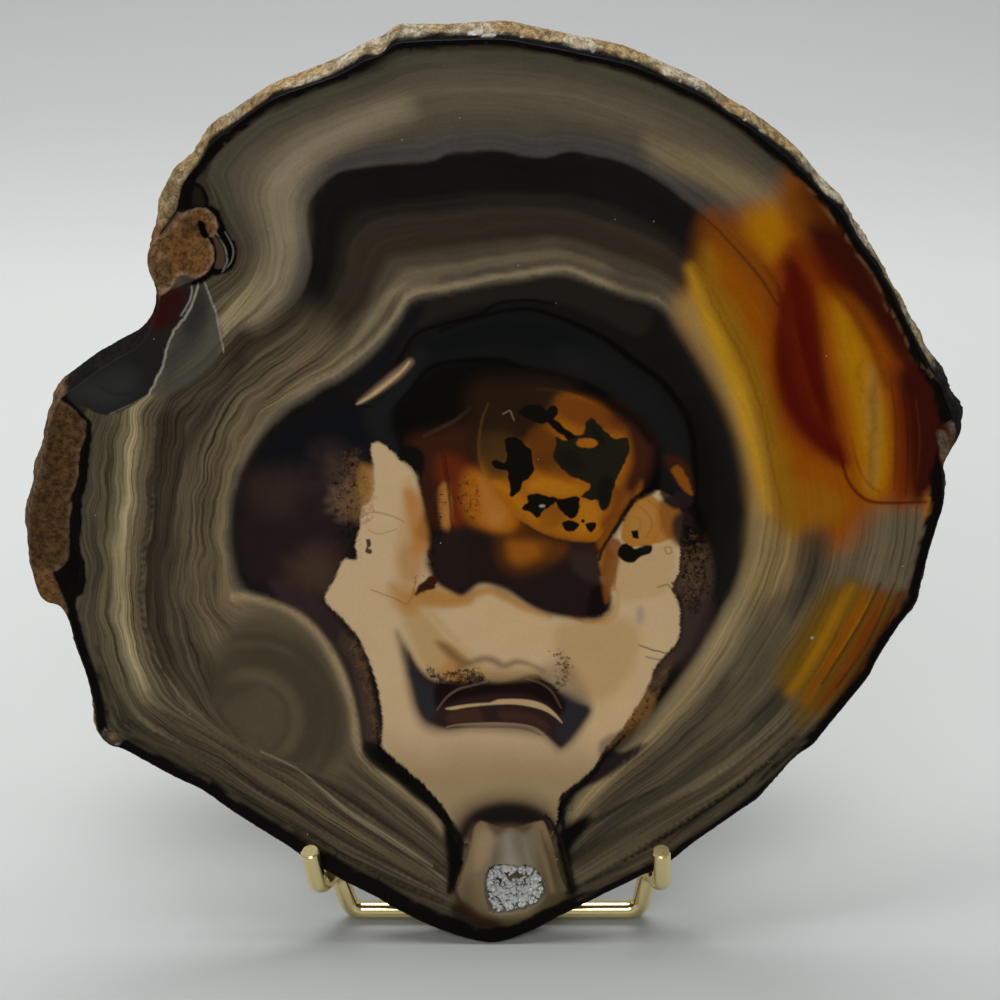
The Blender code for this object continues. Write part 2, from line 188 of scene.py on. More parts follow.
# Colours as a screen shows them, 0 to 255
PALETTE = {
    "rind_black": (7, 5, 4),
    "edge_line": (42, 37, 28),
    "outer_taupe": (62, 57, 45),
    "mid_taupe": (69, 62, 50),
    "pale_taupe": (81, 72, 57),
    "violet_grey": (59, 54, 51),
    "soot": (16, 14, 12),
    "warm_soot": (28, 24, 18),
    "umber": (42, 34, 26),
    "stone_brown": (62, 54, 42),
    "beige": (88, 78, 60),
    "soft_beige": (73, 63, 51),
    "bright_line": (116, 102, 79),
    "left_olive": (62, 55, 42),
    "left_taupe": (77, 69, 50),
    "left_pale": (120, 107, 80),
    "left_brown": (46, 38, 28),
    "left_tan": (78, 67, 50),
    "left_line": (92, 79, 57),
    "low_dark": (56, 49, 36),
    "low_mid": (68, 59, 44),
    "low_pale": (74, 64, 47),
    "thread": (118, 107, 86),
    "right_pale": (77, 68, 50),
    "right_dark": (52, 46, 36),
    "right_mid": (72, 63, 47),
    "right_line": (104, 90, 64),
    "peach_grey": (112, 92, 58),
    "blue_black": (11, 12, 16),
    "slate": (20, 20, 20),
    "deep_blue": (10, 13, 14),
    "olive_black": (16, 16, 15),
    "brown_black": (10, 9, 5),
    "black": (4, 3, 2),
    "plum_black": (29, 20, 19),
    "plum": (42, 30, 30),
    "bark": (60, 45, 34),
    "cream": (168, 142, 108),
    "low_cream": (134, 113, 82),
    "rose_cream": (170, 141, 103),
    "tan_cream": (150, 120, 76),
    "stain": (146, 103, 51),
    "inner_olive": (8, 6, 4),
    "inner_red": (46, 21, 11),
    "inner_orange": (138, 78, 16),
    "ochre": (128, 78, 18),
    "disc_olive": (58, 39, 15),
    "disc_yellow": (148, 92, 16),
    "disc_orange": (134, 76, 12),
    "disc_brown": (76, 39, 8),
    "inclusion": (11, 8, 5),
    "inclusion_olive": (24, 21, 12),
    "smear": (27, 17, 15),
    "smear_grey": (29, 21, 16),
    "flesh": (144, 96, 38),
    "lip": (36, 22, 19),
    "lip_black": (16, 7, 5),
    "lip_plum": (42, 30, 28),
    "quartz_tan": (104, 88, 64),
    "quartz_grey": (100, 90, 74),
    "quartz_foot": (58, 51, 30),
    "druse": (96, 90, 78),
    "rust_line": (58, 24, 9),
    "vein": (128, 122, 112),
    "wedge": (26, 25, 23),
    "wedge_red": (38, 9, 7),
    "wedge_grey": (60, 57, 50),
    "knob": (96, 66, 36),
    "lump": (70, 50, 28),
    "lump_edge": (86, 66, 48),
    "pink_rim": (118, 92, 68),
    "rind_grey": (96, 92, 84),
    "honey": (122, 62, 2),
    "amber": (122, 62, 2),
    "amber_brown": (96, 50, 8),
    "gold": (142, 94, 6),
    "olive_gold": (118, 80, 12),
    "lemon": (132, 104, 56),
    "red": (68, 8, 1),
    "maroon": (46, 10, 4),
    "rust": (98, 36, 5),
    "grey_white": (84, 74, 56),
    "chip_and_glint": (150, 148, 142),
    "quartz_streak": (140, 134, 122),
    "slit_line": (128, 106, 84),
    "lobe_orange": (104, 56, 16),
    "lip_blue": (32, 34, 38),
    "trough": (100, 94, 78),
    "rim_thread": (112, 84, 54),
    "foot_olive": (86, 62, 14),
    "wedge_soft": (36, 36, 34),
    "lip_red": (58, 34, 26),
    "slit_arc": (104, 82, 70),
    "brow": (134, 108, 84),
    "wave_grey": (84, 66, 50),
    "fringe": (160, 116, 20),
    "black_line": (12, 9, 6),
    "amber_dark": (64, 26, 3),
    "right_bright": (134, 114, 80),
    "eye_line": (138, 118, 88),
    "right_cloud": (112, 98, 70),
    "cloud": (120, 109, 87),
    "disc_edge": (50, 22, 11),
    "disc_right": (98, 50, 12),
    "disc_top": (32, 19, 9),
    "ember": (150, 98, 44),
    "blood": (84, 30, 10),
    "tan_skin": (122, 104, 74),
    "grey_skin": (134, 126, 108),
    "dark_skin": (92, 76, 52),
    "rust_skin": (116, 90, 58),
    "painted_glint": (150, 150, 144),
    "moss_gold": (92, 66, 34),
}

# The polished face, clockwise from the corner below the reddish knob
FACE_OUTLINE = [
    (158, 292), (151, 277), (146, 262), (147, 248), (157, 237), (170, 226), (181, 212),
    (184, 198), (188, 179), (210, 147), (236, 124), (271, 99), (303, 85), (344, 70),
    (386, 48), (411, 41), (446, 39), (500, 38), (532, 43), (573, 51), (628, 64),
    (679, 85), (723, 108), (771, 144), (803, 172), (838, 207), (859, 242), (878, 268),
    (898, 305), (911, 331), (922, 354), (932, 372), (942, 385), (948, 405), (953, 424),
    (955, 440), (948, 455), (943, 469), (944, 493), (943, 507), (936, 529), (928, 556),
    (919, 590), (914, 604), (896, 630), (877, 660), (869, 676), (849, 701), (836, 717),
    (813, 743), (797, 755), (776, 776), (757, 797), (734, 814), (691, 845), (671, 861),
    (642, 876), (605, 894), (557, 918), (532, 931), (500, 942), (477, 941), (440, 930),
    (399, 911), (375, 897), (351, 885), (333, 875), (300, 855), (287, 846), (236, 814),
    (203, 791), (180, 780), (159, 769), (124, 750), (109, 745), (98, 732), (94, 704),
    (86, 675), (77, 649), (69, 622), (60, 607), (42, 599), (33, 575), (28, 539),
    (29, 515), (36, 484), (44, 455), (50, 421), (58, 400), (67, 392), (94, 371),
    (115, 357), (136, 344), (150, 326), (158, 306),
]

# Lumps that stand out of the rim: place in the picture, reach and height in mm
RIM_LUMPS = [
    ((958, 422), 4.6, 1.3),
    ((397, 34), 3.2, 0.9),
    ((40, 470), 9.0, 0.5),
    ((74, 384), 5.0, -0.4),
    ((112, 356), 7.0, -0.9),
    ((142, 334), 5.0, -1.0),
    ((146, 246), 4.5, -1.1),
    ((376, 46), 3.0, -1.6),
    ((316, 76), 8.0, -0.8),
    ((730, 112), 4.0, -0.8),
    ((824, 190), 4.0, -0.8),
    ((760, 796), 15.0, 0.6),
    ((815, 748), 5.0, 0.5),
    ((912, 606), 4.0, 0.5),
    ((204, 134), 5.0, 0.9),
    ((172, 206), 8.0, 3.3),
    ((640, 52), 6.0, 0.4),
]

# The open hollow near the foot of the slice
POCKET_OUTLINE = [
    (490, 868), (512, 866), (535, 869), (545, 888), (543, 900), (524, 911),
    (496, 915), (488, 906), (485, 886),
]

# Five nested growth lines of the stone, from the rind in to the heart
GROWTH_LINES = [
    [
        (84, 600), (92, 570), (84, 540), (82, 500), (88, 460), (93, 425), (108, 395),
        (150, 345), (190, 303), (222, 280), (238, 265), (240, 248), (232, 232),
        (222, 215), (212, 195), (200, 180), (205, 160), (222, 140), (250, 118),
        (290, 97), (330, 82), (370, 68), (405, 50), (446, 46), (500, 45), (540, 48),
        (575, 56), (625, 69), (675, 90), (718, 112), (765, 148), (795, 175), (828, 210),
        (850, 245), (870, 275), (890, 310), (905, 340), (918, 365), (930, 385),
        (938, 405), (940, 440), (936, 470), (936, 505), (928, 530), (920, 557),
        (910, 590), (903, 602), (888, 628), (868, 656), (860, 672), (841, 694),
        (828, 710), (806, 735), (790, 748), (768, 768), (748, 788), (727, 804),
        (685, 833), (665, 848), (636, 864), (600, 882), (575, 893), (545, 905),
        (500, 914), (470, 912), (440, 900), (400, 885), (360, 868), (340, 858),
        (320, 845), (290, 828), (250, 805), (210, 780), (165, 757), (135, 742),
        (118, 733), (108, 722), (104, 700), (96, 672), (88, 645), (80, 620),
    ],
    [
        (122, 590), (121, 560), (123, 520), (126, 480), (129, 440), (135, 405),
        (160, 382), (190, 360), (212, 338), (233, 318), (255, 288), (266, 262),
        (266, 240), (260, 215), (256, 195), (262, 175), (280, 155), (310, 137),
        (345, 122), (380, 108), (410, 98), (450, 92), (500, 90), (540, 93), (580, 100),
        (630, 114), (680, 134), (725, 160), (765, 192), (790, 222), (812, 262),
        (832, 305), (848, 345), (862, 385), (872, 430), (878, 475), (880, 520),
        (874, 562), (862, 600), (842, 645), (815, 690), (785, 728), (745, 762),
        (700, 790), (650, 818), (605, 845), (572, 868), (545, 892), (500, 906),
        (465, 902), (440, 888), (400, 862), (350, 832), (300, 798), (262, 774),
        (230, 752), (190, 728), (158, 704), (142, 682), (130, 650), (124, 620),
    ],
    [
        (146, 600), (149, 560), (155, 520), (160, 490), (164, 460), (167, 420),
        (173, 400), (188, 388), (203, 378), (217, 365), (229, 350), (243, 336),
        (262, 327), (282, 314), (300, 298), (309, 275), (312, 250), (307, 225),
        (308, 203), (322, 184), (343, 171), (370, 166), (400, 164), (425, 163),
        (440, 157), (455, 151), (505, 151), (520, 155), (545, 157), (570, 151),
        (600, 156), (630, 165), (660, 182), (685, 200), (705, 216), (745, 258),
        (780, 305), (803, 350), (818, 400), (835, 450), (846, 490), (848, 530),
        (842, 570), (825, 612), (795, 665), (762, 708), (720, 745), (680, 775),
        (640, 800), (600, 828), (572, 852), (545, 880), (500, 896), (465, 893),
        (430, 868), (382, 836), (345, 811), (300, 775), (272, 762), (240, 745),
        (205, 720), (180, 692), (164, 665), (152, 635),
    ],
    [
        (181, 600), (184, 560), (189, 520), (193, 480), (201, 440), (216, 412),
        (238, 388), (265, 364), (300, 338), (322, 308), (338, 278), (345, 250),
        (352, 230), (372, 217), (400, 212), (450, 206), (500, 203), (560, 204),
        (605, 216), (645, 232), (680, 254), (712, 286), (745, 330), (772, 380),
        (790, 430), (800, 480), (802, 530), (793, 575), (775, 615), (748, 660),
        (715, 702), (680, 736), (645, 765), (610, 792), (580, 820), (560, 850),
        (535, 875), (500, 885), (465, 880), (450, 866), (420, 840), (380, 814),
        (340, 785), (300, 768), (265, 758), (235, 738), (214, 705), (202, 672),
        (190, 640),
    ],
    [
        (232, 568), (228, 540), (230, 505), (238, 475), (252, 442), (276, 412),
        (302, 392), (340, 372), (372, 346), (393, 320), (409, 299), (436, 291),
        (475, 284), (515, 276), (555, 270), (575, 273), (592, 279), (624, 291),
        (656, 300), (678, 322), (697, 348), (719, 380), (736, 412), (749, 450),
        (757, 490), (757, 525), (750, 560), (735, 600), (720, 627), (702, 660),
        (682, 690), (652, 725), (622, 753), (602, 774), (580, 800), (566, 830),
        (545, 860), (500, 872), (470, 862), (450, 838), (420, 803), (392, 780),
        (368, 758), (361, 735), (357, 700), (345, 665), (325, 632), (300, 610),
        (270, 598), (240, 590),
    ],
]

# Bands between the growth lines: from, to, colour, softness, strength, and the
# clock angles round the stone's middle between which the band shows
TOP = (309, 62)
LEFT = (236, 311)
LOW_LEFT = (183, 237)
LOW_RIGHT = (112, 183)
RIGHT = (60, 114)
BANDS = [
    (-1.0, 4.2, "mid_taupe", 0.1, 1.0, None),
    (-1.0, 0.13, "edge_line", 0.05, 1.0, TOP),
    (0.13, 0.45, "outer_taupe", 0.05, 1.0, TOP),
    (0.7, 1.3, "pale_taupe", 0.25, 1.0, TOP),
    (1.65, 2.02, "violet_grey", 0.16, 1.0, TOP),
    (2.0, 2.9, "soot", 0.05, 1.0, TOP),
    (2.8, 3.12, "warm_soot", 0.1, 1.0, TOP),
    (3.08, 3.62, "umber", 0.1, 1.0, TOP),
    (3.5, 3.78, "stone_brown", 0.07, 1.0, TOP),
    (3.7, 3.84, "beige", 0.05, 1.0, TOP),
    (3.84, 3.95, "soft_beige", 0.03, 1.0, TOP),
    (-1.0, 0.4, "left_olive", 0.12, 1.0, LEFT),
    (0.4, 0.8, "left_taupe", 0.15, 1.0, LEFT),
    (0.78, 1.35, "left_pale", 0.18, 1.0, LEFT),
    (1.35, 1.7, "left_tan", 0.1, 1.0, LEFT),
    (1.7, 2.6, "left_brown", 0.12, 1.0, LEFT),
    (2.6, 3.1, "low_mid", 0.2, 1.0, LEFT),
    (3.1, 3.7, "left_tan", 0.15, 1.0, LEFT),
    (3.66, 3.92, "left_line", 0.12, 1.0, LEFT),
    (-1.0, 0.35, "low_dark", 0.1, 1.0, LOW_LEFT),
    (0.35, 0.6, "low_mid", 0.1, 1.0, LOW_LEFT),
    (0.6, 0.95, "low_dark", 0.1, 1.0, LOW_LEFT),
    (0.95, 1.5, "low_pale", 0.15, 1.0, LOW_LEFT),
    (1.5, 1.95, "low_mid", 0.1, 1.0, LOW_LEFT),
    (2.05, 3.0, "low_dark", 0.1, 1.0, LOW_LEFT),
    (3.0, 3.5, "low_mid", 0.2, 1.0, LOW_LEFT),
    (3.45, 3.95, "low_pale", 0.15, 1.0, LOW_LEFT),
    (-1.0, 0.2, "low_dark", 0.08, 1.0, LOW_RIGHT),
    (0.2, 0.8, "right_pale", 0.15, 1.0, LOW_RIGHT),
    (0.8, 1.1, "low_mid", 0.1, 1.0, LOW_RIGHT),
    (1.1, 1.45, "right_pale", 0.1, 1.0, LOW_RIGHT),
    (1.5, 2.1, "right_dark", 0.18, 1.0, LOW_RIGHT),
    (2.1, 3.4, "right_mid", 0.25, 1.0, LOW_RIGHT),
    (3.4, 3.92, "right_line", 0.25, 1.0, LOW_RIGHT),
    (0.0, 2.6, "right_mid", 0.2, 1.0, RIGHT),
    (2.6, 3.0, "right_pale", 0.3, 1.0, RIGHT),
    (3.0, 4.0, "peach_grey", 0.4, 1.0, RIGHT),
    (3.93, 4.02, "bright_line", 0.03, 1.0, (293, 45)),
    (1.96, 2.04, "thread", 0.07, 0.7, (188, 232)),
    (1.84, 1.89, "thread", 0.07, 0.4, (232, 268)),
    (1.69, 1.76, "warm_soot", 0.06, 0.6, (232, 292)),
    (1.94, 2.0, "warm_soot", 0.06, 0.6, (232, 292)),
    (1.2, 1.25, "thread", 0.06, 0.4, (125, 172)),
    (0.49, 0.54, "thread", 0.06, 0.35, (185, 240)),
    (2.5, 2.56, "thread", 0.05, 0.35, (192, 222)),
]


def area(colour, soft, points, strength=1.0, jag=0.0, sharp=False):
    """A filled outline in picture pixels."""
    return {"colour": colour, "soft": soft, "points": points, "strength": strength,
            "jag": jag, "sharp": sharp, "widths": None, "closed": True}


def stroke(colour, soft, widths, points, strength=1.0, jag=0.0, sharp=False, closed=False):
    """A line in picture pixels, with its width in pixels at even steps along it."""
    return {"colour": colour, "soft": soft, "points": points, "strength": strength,
            "jag": jag, "sharp": sharp, "widths": widths, "closed": closed}


def dot(colour, soft, middle, radius, strength=1.0, jag=0.0):
    """A round spot; radius may be one number or two, across and down."""
    across, down = radius if isinstance(radius, tuple) else (radius, radius)
    points = []
    for step in range(0, 360, 45):
        turn = math.radians(step)
        points.append((middle[0] + across * math.cos(turn), middle[1] + down * math.sin(turn)))
    return area(colour, soft, points, strength, jag)


def patch(soft, points, strength=1.0, jag=0.0):
    """A filled outline without a colour, for a mask."""
    return area(None, soft, points, strength, jag)


# The swirl at the lower left: its middle, and its rings from the outside in
EYE = (253, 720)
EYE_ZONE = [
    (228, 640), (240, 616), (262, 604), (290, 612), (318, 634), (340, 668), (353, 706),
    (356, 742), (348, 768), (325, 772), (295, 762), (262, 750), (232, 730), (214, 700),
    (214, 668),
]
EYE_RINGS = [
    (104, "right_pale"), (96, "low_mid"), (86, "low_dark"), (78, "low_mid"), (72, "low_dark"),
    (60, "low_dark"), (52, "low_mid"), (46, "low_pale"), (38, "low_dark"), (34, "low_mid"),
]

HEART = [
    (371, 446), (374, 467), (373, 496), (361, 510), (360, 528), (355, 543), (357, 559),
    (344, 560), (334, 580), (325, 598), (339, 615), (355, 633), (365, 650), (373, 672),
    (379, 692), (383, 719), (383, 746), (394, 758), (410, 772), (426, 786), (446, 810),
    (457, 833), (466, 842), (500, 850), (545, 840), (556, 822), (560, 796), (576, 783),
    (592, 769), (604, 750), (623, 727), (639, 703), (649, 684), (655, 668), (668, 652),
    (678, 640), (680, 613), (676, 597), (671, 589), (678, 573), (680, 551), (679, 535),
    (682, 512), (672, 497), (656, 490), (640, 496), (624, 520), (608, 545), (604, 575),
    (560, 560), (500, 540), (440, 560), (427, 556), (431, 540), (430, 525), (424, 505),
    (420, 488), (416, 474), (408, 464), (400, 460), (390, 450), (380, 443),
]

DISC = [
    (486, 408), (481, 440), (481, 465), (490, 481), (504, 504), (523, 521), (552, 537),
    (592, 542), (605, 530), (620, 510), (634, 490), (642, 470), (643, 448), (636, 434),
    (622, 421), (603, 408), (582, 397), (548, 388), (515, 392), (498, 399),
]

LIPS = [
    (408, 652), (414, 662), (422, 673), (432, 680), (444, 682), (460, 680), (476, 678),
    (486, 681), (500, 682), (516, 680), (528, 676), (540, 678), (552, 686), (562, 694),
    (574, 702), (586, 706), (590, 711), (584, 721), (576, 732), (568, 742), (561, 748),
    (554, 743), (546, 736), (538, 730), (524, 726), (505, 724), (485, 724), (465, 726),
    (450, 729), (436, 726), (424, 718), (418, 706), (414, 690), (410, 672),
]

AMBER_ZONE = [
    (794, 176), (782, 192), (776, 202), (762, 205), (750, 208), (738, 214), (724, 222),
    (714, 222), (707, 230), (703, 246), (699, 268), (693, 286), (685, 302), (692, 325),
    (705, 345), (722, 372), (738, 405), (751, 440), (758, 475), (760, 500), (774, 517),
    (790, 534), (812, 549), (838, 552), (856, 538), (868, 519), (884, 506), (926, 503),
    (938, 498), (944, 480), (941, 440), (936, 390), (920, 355), (900, 320), (880, 285),
    (860, 255), (835, 220), (812, 190),
]

AMBER_FOOT = [
    (838, 577), (850, 574), (862, 583), (874, 590), (892, 592), (903, 602), (893, 625),
    (880, 648), (862, 675), (845, 697), (825, 712), (810, 720), (800, 722), (795, 716),
    (797, 703), (792, 697), (782, 690), (776, 680), (780, 662), (790, 645), (800, 626),
    (812, 606), (825, 590),
]

QUARTZ_ZONE = [
    (471, 838), (474, 827), (480, 821), (490, 824), (505, 827), (520, 826), (535, 822),
    (543, 821), (548, 831), (553, 846), (557, 863), (561, 878), (566, 890), (560, 900),
    (546, 912), (530, 921), (515, 927), (497, 926), (480, 920), (465, 909), (457, 898),
    (456, 885), (462, 868), (466, 850),
]

WEDGE = [
    (150, 285), (160, 292), (176, 288), (192, 282), (191, 300), (184, 318), (174, 334),
    (166, 348), (162, 366), (153, 386), (148, 394), (138, 402), (124, 410), (108, 415),
    (94, 412), (84, 406), (66, 404), (56, 392), (60, 380), (85, 358), (108, 342),
    (128, 330), (143, 315),
]
WEDGE_SIDE = [
    (191, 304), (203, 283), (210, 298), (217, 318), (222, 338), (214, 362), (196, 380),
    (176, 392), (150, 394), (160, 370), (166, 350), (176, 330),
]
KNOB = [
    (158, 294), (150, 277), (143, 262), (144, 246), (157, 237), (169, 228), (178, 217),
    (190, 210), (204, 208), (214, 216), (217, 228), (213, 236), (208, 238), (213, 248),
    (213, 261), (207, 272), (197, 278), (186, 275), (178, 276), (172, 286), (164, 294),
]
LEFT_LUMP = [
    (56, 398), (63, 402), (72, 408), (80, 417), (86, 424), (84, 440), (79, 455),
    (77, 480), (70, 497), (72, 506), (69, 520), (69, 548), (67, 560), (60, 568),
    (52, 573), (56, 582), (62, 595), (67, 608), (66, 616), (52, 614), (36, 604),
    (24, 575), (20, 540), (22, 510), (30, 480), (38, 450), (44, 420),
]

